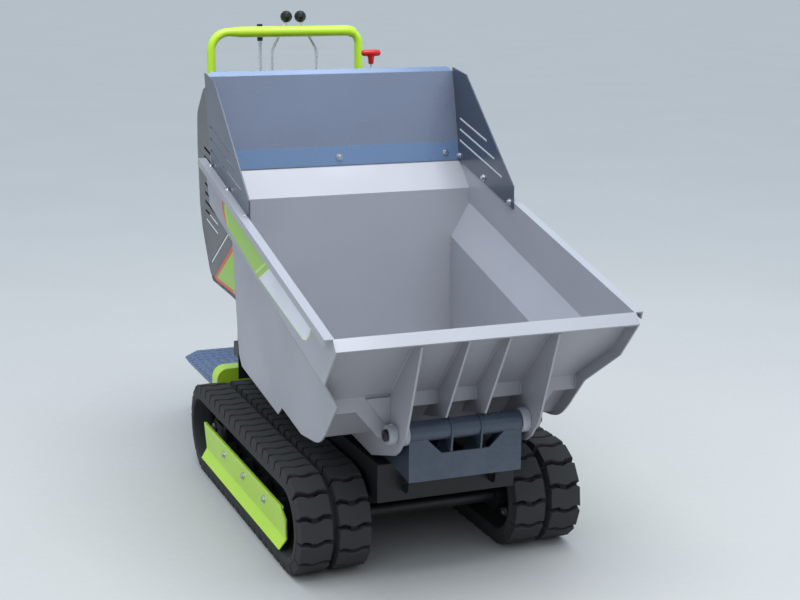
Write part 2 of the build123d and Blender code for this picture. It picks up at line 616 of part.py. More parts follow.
beam_reach = TRACK_CENTRE - BEAM_WIDTH / 2
beam_gap = CHASSIS_BOTTOM - CROSS_BEAM_SIZE / 2  # cross beam's top up to the belly plate
with BuildPart() as cross_beams:
    for station in (WHEELBASE / 2 - roller_pitch, WHEELBASE / 2 + roller_pitch):  # between the rollers
        with BuildSketch(side(-beam_reach)):
            with Locations((station, 0)):
                Rectangle(CROSS_BEAM_SIZE, CROSS_BEAM_SIZE)
        extrude(amount=2 * beam_reach)
        with BuildSketch(front(station - CROSS_BEAM_SIZE / 2)):
            with Locations((0, CHASSIS_BOTTOM - beam_gap / 2)):
                Rectangle(2 * (CHASSIS_HALF_WIDTH - PLATE), beam_gap)
        extrude(amount=-CROSS_BEAM_SIZE)
pieces["cross_beams"] = cross_beams.part

with BuildPart() as pivot_bracket:
    with BuildSketch(front(BRACKET_FRONT)):
        with BuildLine():
            Polyline(
                (-BRACKET_HALF_WIDTH, CHASSIS_TOP - BRACKET_LAP),
                (BRACKET_HALF_WIDTH, CHASSIS_TOP - BRACKET_LAP),
                (BRACKET_HALF_WIDTH, BRACKET_TOP),
                (NOTCH_TOP_HALF, BRACKET_TOP),
                (NOTCH_HALF, NOTCH_FLOOR),
                (-NOTCH_HALF, NOTCH_FLOOR),
                (-NOTCH_TOP_HALF, BRACKET_TOP),
                (-BRACKET_HALF_WIDTH, BRACKET_TOP),
                close=True,
            )
        make_face()
    extrude(amount=-PLATE)
    # side plates, then the two webs between the front plate and the hinge tube
    with BuildSketch(side(-BRACKET_HALF_WIDTH), side(BRACKET_HALF_WIDTH - PLATE)):
        with BuildLine():
            Polyline(
                (BRACKET_FRONT, CHASSIS_TOP - BRACKET_LAP),
                (CHASSIS_FRONT, CHASSIS_TOP),
                (BRACKET_REAR, CHASSIS_TOP),
                (PIN_STATION + HINGE_TUBE_RADIUS, PIN_LEVEL + HINGE_TUBE_RADIUS / 2),
                (PIN_STATION - HINGE_TUBE_RADIUS / 2, BRACKET_TOP),
                (BRACKET_FRONT, BRACKET_TOP),
                close=True,
            )
        make_face()
    extrude(amount=PLATE)
    with BuildSketch(side(-WEB_OFFSET - PLATE / 2), side(WEB_OFFSET - PLATE / 2)):
        with BuildLine():
            Polyline(
                (BRACKET_FRONT + PLATE, CHASSIS_TOP - BRACKET_LAP + PLATE),
                (CHASSIS_FRONT, CHASSIS_TOP - PLATE),
                (PIN_STATION + HINGE_TUBE_RADIUS, PIN_LEVEL),
                (BRACKET_FRONT + PLATE, NOTCH_FLOOR),
                close=True,
            )
        make_face()
    extrude(amount=PLATE)
    with BuildSketch(side(-HINGE_TUBE_HALF)):
        with Locations((PIN_STATION, PIN_LEVEL)):
            Circle(HINGE_TUBE_RADIUS)
    extrude(amount=2 * HINGE_TUBE_HALF)
    with BuildSketch(side(-BRACKET_HALF_WIDTH)):
        with Locations((PIN_STATION, PIN_LEVEL)):
            Circle(PIN_RADIUS + FIT)
    extrude(amount=2 * BRACKET_HALF_WIDTH, mode=Mode.SUBTRACT)
pieces["pivot_bracket"] = pivot_bracket.part

# The pin with thrust washers inside the skip's ears and set collars outside them
ear_inner = OUTER_RIB_OFFSET - RIB_THICKNESS / 2
ear_outer = OUTER_RIB_OFFSET + RIB_THICKNESS / 2
collar_end = ear_outer + FIT + COLLAR_LENGTH
with BuildPart() as pivot_pin:
    for start, end, radius in (
        (0.0, collar_end + PIN_END, PIN_RADIUS),
        (BRACKET_HALF_WIDTH + FIT, ear_inner - FIT, WASHER_RADIUS),
        (ear_outer + FIT, collar_end, COLLAR_RADIUS),
    ):
        with BuildSketch(side(start)):
            with Locations((PIN_STATION, PIN_LEVEL)):
                Circle(radius)
        extrude(amount=end - start)
    mirror(about=Plane.YZ)
pieces["pivot_pin"] = pivot_pin.part

with BuildPart() as rear_bumper:
    with BuildSketch(front(BUMPER_STATION)):
        with Locations((0, (BUMPER_BOTTOM + BUMPER_TOP) / 2)):
            Rectangle(2 * BUMPER_HALF_WIDTH, BUMPER_TOP - BUMPER_BOTTOM)
        fillet(vertices().group_by(Axis.Y)[-1], BUMPER_CORNER)
    extrude(amount=-BUMPER_DEPTH)
    with BuildSketch(front(BUMPER_STATION + PLATE)):
        with Locations((0, (BUMPER_BOTTOM + BUMPER_TOP) / 2)):
            Rectangle(2 * (BUMPER_HALF_WIDTH - PLATE), BUMPER_TOP - BUMPER_BOTTOM - 2 * PLATE)
        fillet(vertices().group_by(Axis.Y)[-1], BUMPER_CORNER - PLATE)
    extrude(amount=-(BUMPER_DEPTH - 2 * PLATE), mode=Mode.SUBTRACT)
    with BuildSketch(front(BUMPER_STATION - PLATE)):
        with Locations((0, CHASSIS_BOTTOM - FIT)):
            Rectangle(
                2 * (CHASSIS_HALF_WIDTH + FIT), FAR / 4, align=(Align.CENTER, Align.MIN)
            )
    extrude(amount=-(BUMPER_DEPTH + 2 * PLATE), mode=Mode.SUBTRACT)
pieces["rear_bumper"] = rear_bumper.part

with BuildPart() as engine_block:
    with BuildSketch(Plane.XY.offset(AXLE_HEIGHT + CHASSIS_TOP)):
        with Locations((ENGINE_CENTRE, FRONT_AXLE_Y + ENGINE_STATION)):
            Rectangle(ENGINE_WIDTH, ENGINE_LENGTH)
    extrude(amount=ENGINE_HEIGHT)
pieces["engine_block"] = engine_block.part

with BuildPart() as hydraulic_tank:
    with BuildSketch(Plane.XY.offset(AXLE_HEIGHT + CHASSIS_TOP)):
        with Locations((TANK_CENTRE, FRONT_AXLE_Y + ENGINE_STATION)):
            Rectangle(TANK_WIDTH, TANK_LENGTH)
    extrude(amount=TANK_HEIGHT)
pieces["hydraulic_tank"] = hydraulic_tank.part

# ---------------------------------------------------------------- console
louver_level = CONSOLE_FOOT + LOUVER_BOTTOM - LOUVER_LENGTH / 2 * math.sin(math.radians(LOUVER_SLOPE))
slit_reach = SLIT_LENGTH / 2 * math.cos(math.radians(SLIT_SLOPE))
slit_climb = SLIT_LENGTH / 2 * math.sin(math.radians(SLIT_SLOPE))
with BuildPart() as console_panel_left:
    with BuildSketch(side(-CONSOLE_HALF_WIDTH)):
        with BuildLine():
            Polyline(
                (CONSOLE_FRONT, CONSOLE_TOP),
                (CONSOLE_REAR - CONSOLE_SHOULDER, CONSOLE_TOP),
                (CONSOLE_REAR + CONSOLE_BULGE / 2, CONSOLE_TOP - CONSOLE_SHOULDER),
                (CONSOLE_REAR + CONSOLE_BULGE, CONSOLE_TOP - CONSOLE_WAIST),
                (CONSOLE_REAR - CONSOLE_HIP[0], CONSOLE_FOOT + CONSOLE_HIP[1]),
                (CONSOLE_REAR - CONSOLE_KNEE[0], CONSOLE_FOOT + CONSOLE_KNEE[1]),
                (CONSOLE_REAR - CONSOLE_HEEL[0], CONSOLE_FOOT + CONSOLE_HEEL[1]),
                (CONSOLE_FRONT, CONSOLE_FOOT),
                close=True,
            )
        make_face()
        fillet(vertices().sort_by(Axis.X)[2:], CONSOLE_ROUND)
    extrude(amount=COVER)
    # a column of slanting louvers, then the long slit that runs the other way
    with BuildSketch(side(-CONSOLE_HALF_WIDTH)):
        for row in range(LOUVER_ROWS):
            middle = (CONSOLE_REAR - LOUVER_SETBACK - LOUVER_LENGTH / 2, louver_level + row * LOUVER_PITCH)
            with Locations(Location(middle, LOUVER_SLOPE)):
                Rectangle(LOUVER_LENGTH, LOUVER_WIDTH)
        slit_middle = (CONSOLE_REAR - SLIT_SETBACK - slit_reach, CONSOLE_FOOT + SLIT_RISE + slit_climb)
        with Locations(Location(slit_middle, -SLIT_SLOPE)):
            Rectangle(SLIT_LENGTH, LOUVER_WIDTH)
    extrude(amount=COVER, mode=Mode.SUBTRACT)
pieces["console_panel_left"] = console_panel_left.part
pieces["console_panel_right"] = mirrored(console_panel_left.part)

cowl_half = CONSOLE_HALF_WIDTH - COVER
cowl_rear = CONSOLE_REAR - COWL_INSET
shelf_level = COWL_TOP - COWL_SLOPE_DROP
cowl_foot = shelf_level - COWL_REAR_HEIGHT
shelf_rear = LEVER_STATION + SHELF_MARGIN
with BuildPart() as console_cowl:
    with BuildSketch(side(-cowl_half)):
        with BuildLine():
            Polyline(
                (CONSOLE_FRONT, CHASSIS_TOP),
                (CONSOLE_FRONT, COWL_TOP),
                (cowl_rear - COWL_SLOPE_RUN, COWL_TOP),
                (cowl_rear, shelf_level),
                (cowl_rear, cowl_foot),
                (cowl_rear - COVER, cowl_foot),
                (cowl_rear - COVER, shelf_level - COVER),
                (cowl_rear - COWL_SLOPE_RUN - COVER, COWL_TOP - COVER),
                (CONSOLE_FRONT + COVER, COWL_TOP - COVER),
                (CONSOLE_FRONT + COVER, CHASSIS_TOP),
                close=True,
            )
        make_face()
    extrude(amount=2 * cowl_half)
    with BuildSketch(side(-SHELF_HALF_WIDTH)):
        with BuildLine():
            Polyline(
                (cowl_rear - COVER, shelf_level),
                (shelf_rear, shelf_level),
                (shelf_rear, shelf_level - SHELF_LIP),
                (shelf_rear - COVER, shelf_level - SHELF_LIP),
                (shelf_rear - COVER, shelf_level - COVER),
                (cowl_rear - COVER, shelf_level - COVER),
                close=True,
            )
        make_face()
    extrude(amount=2 * SHELF_HALF_WIDTH)
pieces["console_cowl"] = console_cowl.part

with BuildPart() as handle_bar:
    with BuildLine(front(HANDLE_STATION)) as handle_path:
        FilletPolyline(
            (-HANDLE_HALF_WIDTH, HANDLE_FOOT),
            (-HANDLE_HALF_WIDTH, HANDLE_LEVEL),
            (HANDLE_HALF_WIDTH, HANDLE_LEVEL),
            (HANDLE_HALF_WIDTH, HANDLE_FOOT),
            radius=HANDLE_BEND,
        )
    with BuildSketch(Plane(origin=handle_path.line @ 0, z_dir=(0, 0, 1))):
        Circle(HANDLE_RADIUS)
    sweep()
pieces["handle_bar"] = handle_bar.part

with BuildPart() as handle_grip:  # sleeve along the top bar, tapered at its left end
    with BuildSketch(front(HANDLE_STATION)):
        with BuildLine():
            Polyline(
                (GRIP_LEFT - GRIP_TAPER, HANDLE_LEVEL + HANDLE_RADIUS + FIT),
                (GRIP_LEFT, HANDLE_LEVEL + GRIP_RADIUS),
                (GRIP_RIGHT, HANDLE_LEVEL + GRIP_RADIUS),
                (GRIP_RIGHT, HANDLE_LEVEL + HANDLE_RADIUS + FIT),
                close=True,
            )
        make_face()
    revolve(axis=Axis((0, FRONT_AXLE_Y + HANDLE_STATION, AXLE_HEIGHT + HANDLE_LEVEL), (1, 0, 0)))
pieces["handle_grip"] = handle_grip.part

upper_clamp = shelf_level - CLAMP_HEIGHT
lower_clamp = HANDLE_FOOT + CLAMP_HEIGHT
with BuildPart() as handle_clamps:
    for level in (lower_clamp, upper_clamp):
        with BuildSketch(Plane.XY.offset(AXLE_HEIGHT + level - CLAMP_HEIGHT / 2)):
            for across in (-HANDLE_HALF_WIDTH, HANDLE_HALF_WIDTH):
                with Locations((across, FRONT_AXLE_Y + (cowl_rear + HANDLE_STATION) / 2)):
                    Rectangle(CLAMP_WIDTH, HANDLE_STATION - cowl_rear)
                with Locations((across, FRONT_AXLE_Y + HANDLE_STATION)):
                    Circle(HANDLE_RADIUS + FIT, mode=Mode.SUBTRACT)
        extrude(amount=CLAMP_HEIGHT)
pieces["handle_clamps"] = handle_clamps.part

levers = ((-37.0, 12.0), (113.0, 59.0))  # across the machine: at the foot, at the knob
neck_level = COWL_TOP + LEVER_TOP_HEIGHT
with BuildPart() as lever_rods:
    for foot, top in levers:
        with BuildLine(front(LEVER_STATION)) as lever_path:
            FilletPolyline(
                (foot, shelf_level),
                (foot, COWL_TOP + LEVER_BEND_HEIGHT),
                (top, neck_level),
                radius=LEVER_BEND,
            )
        with BuildSketch(Plane(origin=lever_path.line @ 0, z_dir=(0, 0, 1))):
            Circle(LEVER_RADIUS)
        sweep()
    # the straight rods of the third lever and of the choke
    for across, station, foot, height, radius in (
        (ROD_LEVER_OFFSET, LEVER_STATION, shelf_level, ROD_LEVER_HEIGHT, ROD_LEVER_RADIUS),
        (CHOKE_OFFSET, CHOKE_STATION, COWL_TOP, CHOKE_HEIGHT, CHOKE_ROD_RADIUS),
    ):
        with BuildSketch(Plane.XY.offset(AXLE_HEIGHT + foot)):
            with Locations((across, FRONT_AXLE_Y + station)):
                Circle(radius)
        extrude(amount=COWL_TOP + height - foot)
pieces["lever_rods"] = lever_rods.part

with BuildPart() as lever_knobs:
    for foot, top in levers:
        knob_middle = neck_level + KNOB_RADIUS - LEVER_RADIUS
        turns = [math.radians(-90.0 + 180.0 * step / KNOB_FACES) for step in range(KNOB_FACES + 1)]
        with BuildSketch(front(LEVER_STATION)):
            with BuildLine():
                outline = [(top + KNOB_RADIUS * math.cos(a), knob_middle + KNOB_RADIUS * math.sin(a)) for a in turns]
                Polyline(*outline, close=True)
            make_face()
        revolve(axis=Axis((top, FRONT_AXLE_Y + LEVER_STATION, AXLE_HEIGHT), (0, 0, 1)))
    with BuildSketch(Plane.XY.offset(AXLE_HEIGHT + COWL_TOP + ROD_LEVER_HEIGHT)):
        with Locations((ROD_LEVER_OFFSET, FRONT_AXLE_Y + LEVER_STATION)):
            Circle(SLEEVE_RADIUS)
    extrude(amount=SLEEVE_LENGTH)
    add(lever_rods.part, mode=Mode.SUBTRACT)
pieces["lever_knobs"] = lever_knobs.part

choke_foot = AXLE_HEIGHT + COWL_TOP + CHOKE_HEIGHT
with BuildPart() as choke_knob:
    with BuildSketch(Plane.XY.offset(choke_foot)) as choke_neck:
        with Locations((CHOKE_OFFSET, FRONT_AXLE_Y + CHOKE_STATION)):
            RegularPolygon(CHOKE_NECK_RADIUS * 2 / 3, CHOKE_NECK_SIDES)
    with BuildSketch(Plane.XY.offset(choke_foot + 2 * CHOKE_NECK_RADIUS)) as choke_shoulder:
        with Locations((CHOKE_OFFSET, FRONT_AXLE_Y + CHOKE_STATION)):
            RegularPolygon(CHOKE_NECK_RADIUS, CHOKE_NECK_SIDES)
    loft()
    with BuildSketch(Plane.XY.offset(choke_foot + 2 * CHOKE_NECK_RADIUS)):
        with Locations((CHOKE_OFFSET, FRONT_AXLE_Y + CHOKE_STATION)):
            Rectangle(2 * CHOKE_HALF_WIDTH, CHOKE_BAR)
    extrude(amount=CHOKE_BAR)
    upright = edges().filter_by(Axis.Z).group_by(Axis.X)
    chamfer(upright[0] + upright[-1], CHOKE_BAR / 3)
pieces["choke_knob"] = choke_knob.part

# ---------------------------------------------------------------- skip
fold_cos = math.cos(math.radians(FOLD_PITCH))
fold_sin = math.sin(math.radians(FOLD_PITCH))
fold_plane = Plane(
    origin=(0, FRONT_AXLE_Y + NOSE[0], AXLE_HEIGHT + NOSE[1]), x_dir=(1, 0, 0), z_dir=(0, -fold_cos, -fold_sin)
)
fold_drop = FOLD_DROP * fold_cos
with BuildPart() as skip_inside:  # the room between the side sheets' inner faces
    with BuildSketch(fold_plane):
        with BuildLine():
            # half widths at the top, the upper fold, the lower fold and the bottom
            Polyline(
                (-(SKIP_HALF_WIDTH - SHEET), FAR / 4),
                (-(SKIP_HALF_WIDTH - SHEET), 0),
                (-(LOWER_HALF_WIDTH - SHEET), -fold_drop),
                (-(LOWER_HALF_WIDTH - SHEET), -FAR / 4),
                (LOWER_HALF_WIDTH - SHEET, -FAR / 4),
                (LOWER_HALF_WIDTH - SHEET, -fold_drop),
                (SKIP_HALF_WIDTH - SHEET, 0),
                (SKIP_HALF_WIDTH - SHEET, FAR / 4),
                close=True,
            )
        make_face()
    extrude(amount=FAR / 4, both=True)


def floor_level(station):
    """Level of the floor sheet's top face at a station."""
    slope = (FLOOR_REAR[1] - WALL_FOOT[1]) / (FLOOR_REAR[0] - WALL_FOOT[0])
    return WALL_FOOT[1] + (station - WALL_FOOT[0]) * slope


def floor_under(station):
    """Level of the floor sheet's under face at a station."""
    return floor_level(station) - SHEET


toe = (WALL_FOOT[0] - TOE_SETBACK, WALL_FOOT[1] + TOE_RISE)
lobe_foot = (WALL_FOOT[0], WALL_FOOT[1] - LOBE_DROP)
skirt_front = (WALL_FOOT[0] + SKIRT_RUN, floor_level(WALL_FOOT[0] + SKIRT_RUN) - SKIRT)
notch_start = (WALL_FOOT[0] + NOTCH_RUN, floor_level(WALL_FOOT[0] + NOTCH_RUN) - NOTCH_SKIRT)
notch_end = (notch_start[0] + NOTCH_LENGTH, floor_level(notch_start[0] + NOTCH_LENGTH) - REAR_SKIRT)
heel = (FLOOR_REAR[0] + HEEL[0], FLOOR_REAR[1] + HEEL[1])
with BuildPart() as side_sheet_left:
    with BuildSketch(fold_plane):
        with BuildLine():
            Polyline(
                (-SKIP_HALF_WIDTH, FAR / 4),
                (-SKIP_HALF_WIDTH, 0),
                (-LOWER_HALF_WIDTH, -fold_drop),
                (-LOWER_HALF_WIDTH, -FAR / 4),
                (-LOWER_HALF_WIDTH + SHEET, -FAR / 4),
                (-LOWER_HALF_WIDTH + SHEET, -fold_drop),
                (-SKIP_HALF_WIDTH + SHEET, 0),
                (-SKIP_HALF_WIDTH + SHEET, FAR / 4),
                close=True,
            )
        make_face()
    extrude(amount=FAR / 4, both=True)
    with BuildSketch(side(-SKIP_HALF_WIDTH - SHEET)):
        with BuildLine():
            Polyline(
                lobe_foot,
                skirt_front,
                notch_start,
                notch_end,
                (heel[0] - HEEL_CUT, heel[1] - HEEL_CUT),
                heel,
                (REAR_WALL_STATION + REAR_KNEE[0], RIM_REAR[1] - REAR_KNEE[1]),
                (REAR_WALL_STATION + REAR_BEND[0], RIM_REAR[1] - REAR_BEND[1]),
                RIM_REAR,
                RIM_FRONT,
                LIP,
                NOSE,
                toe,
            )
            TangentArc(toe, lobe_foot, tangent=(toe[0] - NOSE[0], toe[1] - NOSE[1]))
        make_face()
    extrude(amount=SKIP_HALF_WIDTH, mode=Mode.INTERSECT)
    # the rim's top flange, turned down along its outer edge
    rim_outer = SKIP_HALF_WIDTH + RIM_FLANGE
    rim_cos = math.cos(math.radians(RIM_PITCH))
    rim_sin = math.sin(math.radians(RIM_PITCH))
    rim_start = (0, FRONT_AXLE_Y + RIM_FRONT[0], AXLE_HEIGHT + RIM_FRONT[1])
    with BuildSketch(Plane(origin=rim_start, x_dir=(1, 0, 0), z_dir=(0, -rim_cos, -rim_sin))):
        with BuildLine():
            Polyline(
                (-SKIP_HALF_WIDTH + SHEET, 0),
                (-rim_outer, 0),
                (-rim_outer, -RIM_LIP),
                (-rim_outer + SHEET, -RIM_LIP),
                (-rim_outer + SHEET, -SHEET),
                (-SKIP_HALF_WIDTH + SHEET, -SHEET),
                close=True,
            )
        make_face()
    extrude(amount=-(RIM_REAR[0] - RIM_FRONT[0]) / rim_cos)
pieces["side_sheet_left"] = side_sheet_left.part
pieces["side_sheet_right"] = mirrored(side_sheet_left.part)


def across_skip(*points):
    """A folded sheet with this outline in stations and levels, cut to the room between the side sheets."""
    with BuildPart() as sheet:
        with BuildSketch(side(-SKIP_HALF_WIDTH)):
            with BuildLine():
                Polyline(*points, close=True)
            make_face()
        extrude(amount=2 * SKIP_HALF_WIDTH)
        add(skip_inside.part, mode=Mode.INTERSECT)
    return sheet.part


wall_slope = math.atan2(RIM_FRONT[1] - WALL_FOOT[1], WALL_FOOT[0] - RIM_FRONT[0])
wall_rise = SHEET / math.cos(wall_slope)  # the wall's sheet measured straight down
pieces["front_sheet"] = across_skip(
    LIP,
    RIM_FRONT,
    WALL_FOOT,
    (WALL_FOOT[0], WALL_FOOT[1] - wall_rise),
    (RIM_FRONT[0], RIM_FRONT[1] - wall_rise),
    (LIP[0] + SHEET, LIP[1] - SHEET),
)
pieces["floor_sheet"] = across_skip(
    WALL_FOOT,
    FLOOR_REAR,
    (FLOOR_REAR[0], FLOOR_REAR[1] - SHEET),
    (WALL_FOOT[0], WALL_FOOT[1] - SHEET),
)
# the rear wall leans back in a strip, then stands up again in the flange that carries the splash guard
guard_lean = (GUARD_CREASE_STATION + COVER + FIT - STRIP_TOP[0]) / (GUARD_CREASE_LEVEL - STRIP_TOP[1])
flange_top = (STRIP_TOP[0] + guard_lean * STRIP_FLANGE, STRIP_TOP[1] + STRIP_FLANGE)
pieces["rear_sheet"] = across_skip(
    (FLOOR_REAR[0], FLOOR_REAR[1] - SHEET),
    STRIP_FOOT,
    STRIP_TOP,
    flange_top,
    (flange_top[0] + SHEET, flange_top[1]),
    (STRIP_TOP[0] + SHEET, STRIP_TOP[1] - SHEET / 2),
    (STRIP_FOOT[0] + SHEET, STRIP_FOOT[1] - SHEET / 2),
    (FLOOR_REAR[0] + SHEET, FLOOR_REAR[1] - SHEET),
)


def wall_under(station):
    """Level of the front wall's under face at a station."""
    return WALL_FOOT[1] - wall_rise + (WALL_FOOT[0] - station) * math.tan(wall_slope)


rib_offsets = (-OUTER_RIB_OFFSET, -INNER_RIB_OFFSET, INNER_RIB_OFFSET, OUTER_RIB_OFFSET)
rib_faces = [side(x - RIB_THICKNESS / 2) for x in rib_offsets]
with BuildPart() as ledge:
    with BuildSketch(side(-LOWER_HALF_WIDTH + SHEET)):
        with BuildLine():
            shelf = WALL_FOOT[0] - (LEDGE[1] + SHEET - WALL_FOOT[1] + wall_rise) / math.tan(wall_slope)
            Polyline(
                LEDGE,
                (shelf + SHEET / math.tan(wall_slope), LEDGE[1]),
                (shelf, LEDGE[1] + SHEET),
                (LEDGE[0] + SHEET, LEDGE[1] + SHEET),
                (LEDGE[0] + SHEET, wall_under(LEDGE[0] + SHEET)),
                (LEDGE[0], wall_under(LEDGE[0])),
                close=True,
            )
        make_face()
    extrude(amount=2 * (LOWER_HALF_WIDTH - SHEET))
    with BuildSketch(*rib_faces):
        with Locations(LEDGE):
            Rectangle(2 * LEDGE_LEAD, 2 * LEDGE_RISE)
    extrude(amount=RIB_THICKNESS, mode=Mode.SUBTRACT)
pieces["ledge"] = ledge.part

# Side ribs: the hinge's ears below the front wall, then a tapering beam under the floor
rib_start = (RIM_FRONT[0] + SHEET, wall_under(RIM_FRONT[0] + SHEET))
beam_foot = (WALL_FOOT[0], WALL_FOOT[1] - BEAM_DROP)
beam_end = (BEAM_END_STATION, floor_level(BEAM_END_STATION) - BEAM_END_DROP)
with BuildPart() as pivot_rib_left:
    with BuildSketch(rib_faces[0]):
        with BuildLine():
            Polyline(
                (LIP[0] + RIB_LIP_GAP, LIP[1] - RIB_LIP_GAP),
                (PIN_STATION - EAR_NOSE[0], PIN_LEVEL + EAR_NOSE[1]),
                (PIN_STATION - EAR_TOE[0], PIN_LEVEL - EAR_TOE[1]),
                (PIN_STATION + EAR_HEEL[0], PIN_LEVEL - EAR_HEEL[1]),
                beam_foot,
                beam_end,
                (BEAM_END_STATION + BEAM_SLANT, floor_under(BEAM_END_STATION + BEAM_SLANT)),
                (WALL_FOOT[0], floor_under(WALL_FOOT[0])),
                (WALL_FOOT[0], wall_under(WALL_FOOT[0])),
                rib_start,
                close=True,
            )
        make_face()
        with Locations((PIN_STATION, PIN_LEVEL)):
            Circle(PIN_RADIUS + FIT, mode=Mode.SUBTRACT)
    extrude(amount=RIB_THICKNESS)
pieces["pivot_rib_left"] = pivot_rib_left.part
pieces["pivot_rib_right"] = mirrored(pivot_rib_left.part)

with BuildPart() as lip_ribs:
    with BuildSketch(*rib_faces[1:3]):
        with BuildLine():
            Polyline(
                (LIP[0] + 2 * RIB_LIP_GAP, LIP[1] - RIB_LIP_GAP),
                (PIN_STATION - FIN_NOSE[0], PIN_LEVEL + FIN_NOSE[1]),
                (WALL_FOOT[0] - FIN_FOOT, wall_under(WALL_FOOT[0] - FIN_FOOT)),
                rib_start,
                close=True,
            )
        make_face()
    extrude(amount=RIB_THICKNESS)
pieces["lip_ribs"] = lip_ribs.part

# Gussets that stand across the ears' outer faces: one before the ledge, one under its shelf
gusset_root = ear_outer + FIT
with BuildPart() as ear_gussets:
    for face, outline in (
        (
            LEDGE[0] - FIT - RIB_THICKNESS,
            (
                (gusset_root, LEDGE[1] + GUSSET_TOP),
                (gusset_root + GUSSET_REACH, LEDGE[1] + GUSSET_TOP),
                (gusset_root + GUSSET_FOOT, LEDGE[1] - GUSSET_BOTTOM),
                (gusset_root, LEDGE[1] - GUSSET_BOTTOM),
            ),
        ),
        (
            LEDGE[0] + SHEET,
            (
                (gusset_root, LEDGE[1] - FIT),
                (gusset_root + EAR_PLATE_REACH, LEDGE[1] - FIT),
                (gusset_root + EAR_PLATE_FOOT, LEDGE[1] - EAR_PLATE_DEPTH),
                (gusset_root, LEDGE[1] - EAR_PLATE_DEPTH),
            ),
        ),
    ):
        with BuildSketch(front(face)):
            with BuildLine():
                Polyline(*outline, close=True)
            make_face()
        extrude(amount=-RIB_THICKNESS)
    mirror(about=Plane.YZ)
pieces["ear_gussets"] = ear_gussets.part


def beam_under(station):
    """Level of the ribs' lower edge under the floor at a station."""
    share = (station - beam_foot[0]) / (beam_end[0] - beam_foot[0])
    return beam_foot[1] + share * (beam_end[1] - beam_foot[1])


pad_height = beam_under(REST_PAD_STATION - REST_PAD_RADIUS) - FIT - CHASSIS_TOP
with BuildPart() as rest_pads:  # rubber buffers on the rails that the ribs rest on
    with BuildSketch(Plane.XY.offset(AXLE_HEIGHT + CHASSIS_TOP)):
        with Locations((0, FRONT_AXLE_Y + REST_PAD_STATION)):
            with GridLocations(2 * OUTER_RIB_OFFSET, 1, 2, 1):
                Circle(REST_PAD_RADIUS)
    extrude(amount=pad_height)
pieces["rest_pads"] = rest_pads.part

guard_foot_level = STRIP_TOP[1] + GUARD_FOOT_GAP
guard_foot_station = STRIP_TOP[0] - COVER - FIT + guard_lean * GUARD_FOOT_GAP
with BuildPart() as splash_guard:
    with BuildSketch(side(-GUARD_HALF_WIDTH)):
        with BuildLine():
            Polyline(
                (guard_foot_station, guard_foot_level),
                (GUARD_CREASE_STATION, GUARD_CREASE_LEVEL),
                (GUARD_TOP_STATION, GUARD_TOP_LEVEL),
                (GUARD_TOP_STATION + GUARD_FLANGE, GUARD_TOP_LEVEL),
                (GUARD_TOP_STATION + GUARD_FLANGE, GUARD_TOP_LEVEL - COVER),
                (GUARD_TOP_STATION + COVER, GUARD_TOP_LEVEL - COVER),
                (GUARD_CREASE_STATION + COVER, GUARD_CREASE_LEVEL),
                (guard_foot_station + COVER, guard_foot_level),
                close=True,
            )
        make_face()
    extrude(amount=2 * GUARD_HALF_WIDTH)
    chamfer(edges().filter_by(Axis.Z).group_by(Axis.Y)[-1], GUARD_BEVEL)
pieces["splash_guard"] = splash_guard.part

wing_face = SKIP_HALF_WIDTH - SHEET
with BuildPart() as guard_wing_left:
    with BuildSketch(side(-wing_face)):
        with BuildLine():
            Polyline(
                (WING_FRONT_STATION, rim_level(WING_FRONT_STATION) - WING_LAP),
                (WING_FRONT_STATION, rim_level(WING_FRONT_STATION) + WING_FRONT_RISE),
                (GUARD_TOP_STATION - WING_SHOULDER[0], GUARD_TOP_LEVEL - WING_SHOULDER[1]),
                (GUARD_TOP_STATION, GUARD_TOP_LEVEL - COVER),
                (GUARD_CREASE_STATION, GUARD_CREASE_LEVEL),
                (STRIP_TOP[0] - FIT, rim_level(STRIP_TOP[0]) - WING_LAP),
                close=True,
            )
        make_face()
        for number in range(WING_SLOT_COUNT):
            slot_front = WING_SLOT_FRONT + number * WING_SLOT_STAGGER
            middle = (slot_front + WING_SLOT_REAR) / 2
            level = rim_level(middle) + WING_SLOT_RISE + number * WING_SLOT_PITCH
            with Locations(Location((middle, level), RIM_PITCH)):
                SlotOverall((WING_SLOT_REAR - slot_front) / rim_cos, WING_SLOT_WIDTH, mode=Mode.SUBTRACT)
    extrude(amount=SHEET)
pieces["guard_wing_left"] = guard_wing_left.part
pieces["guard_wing_right"] = mirrored(guard_wing_left.part)

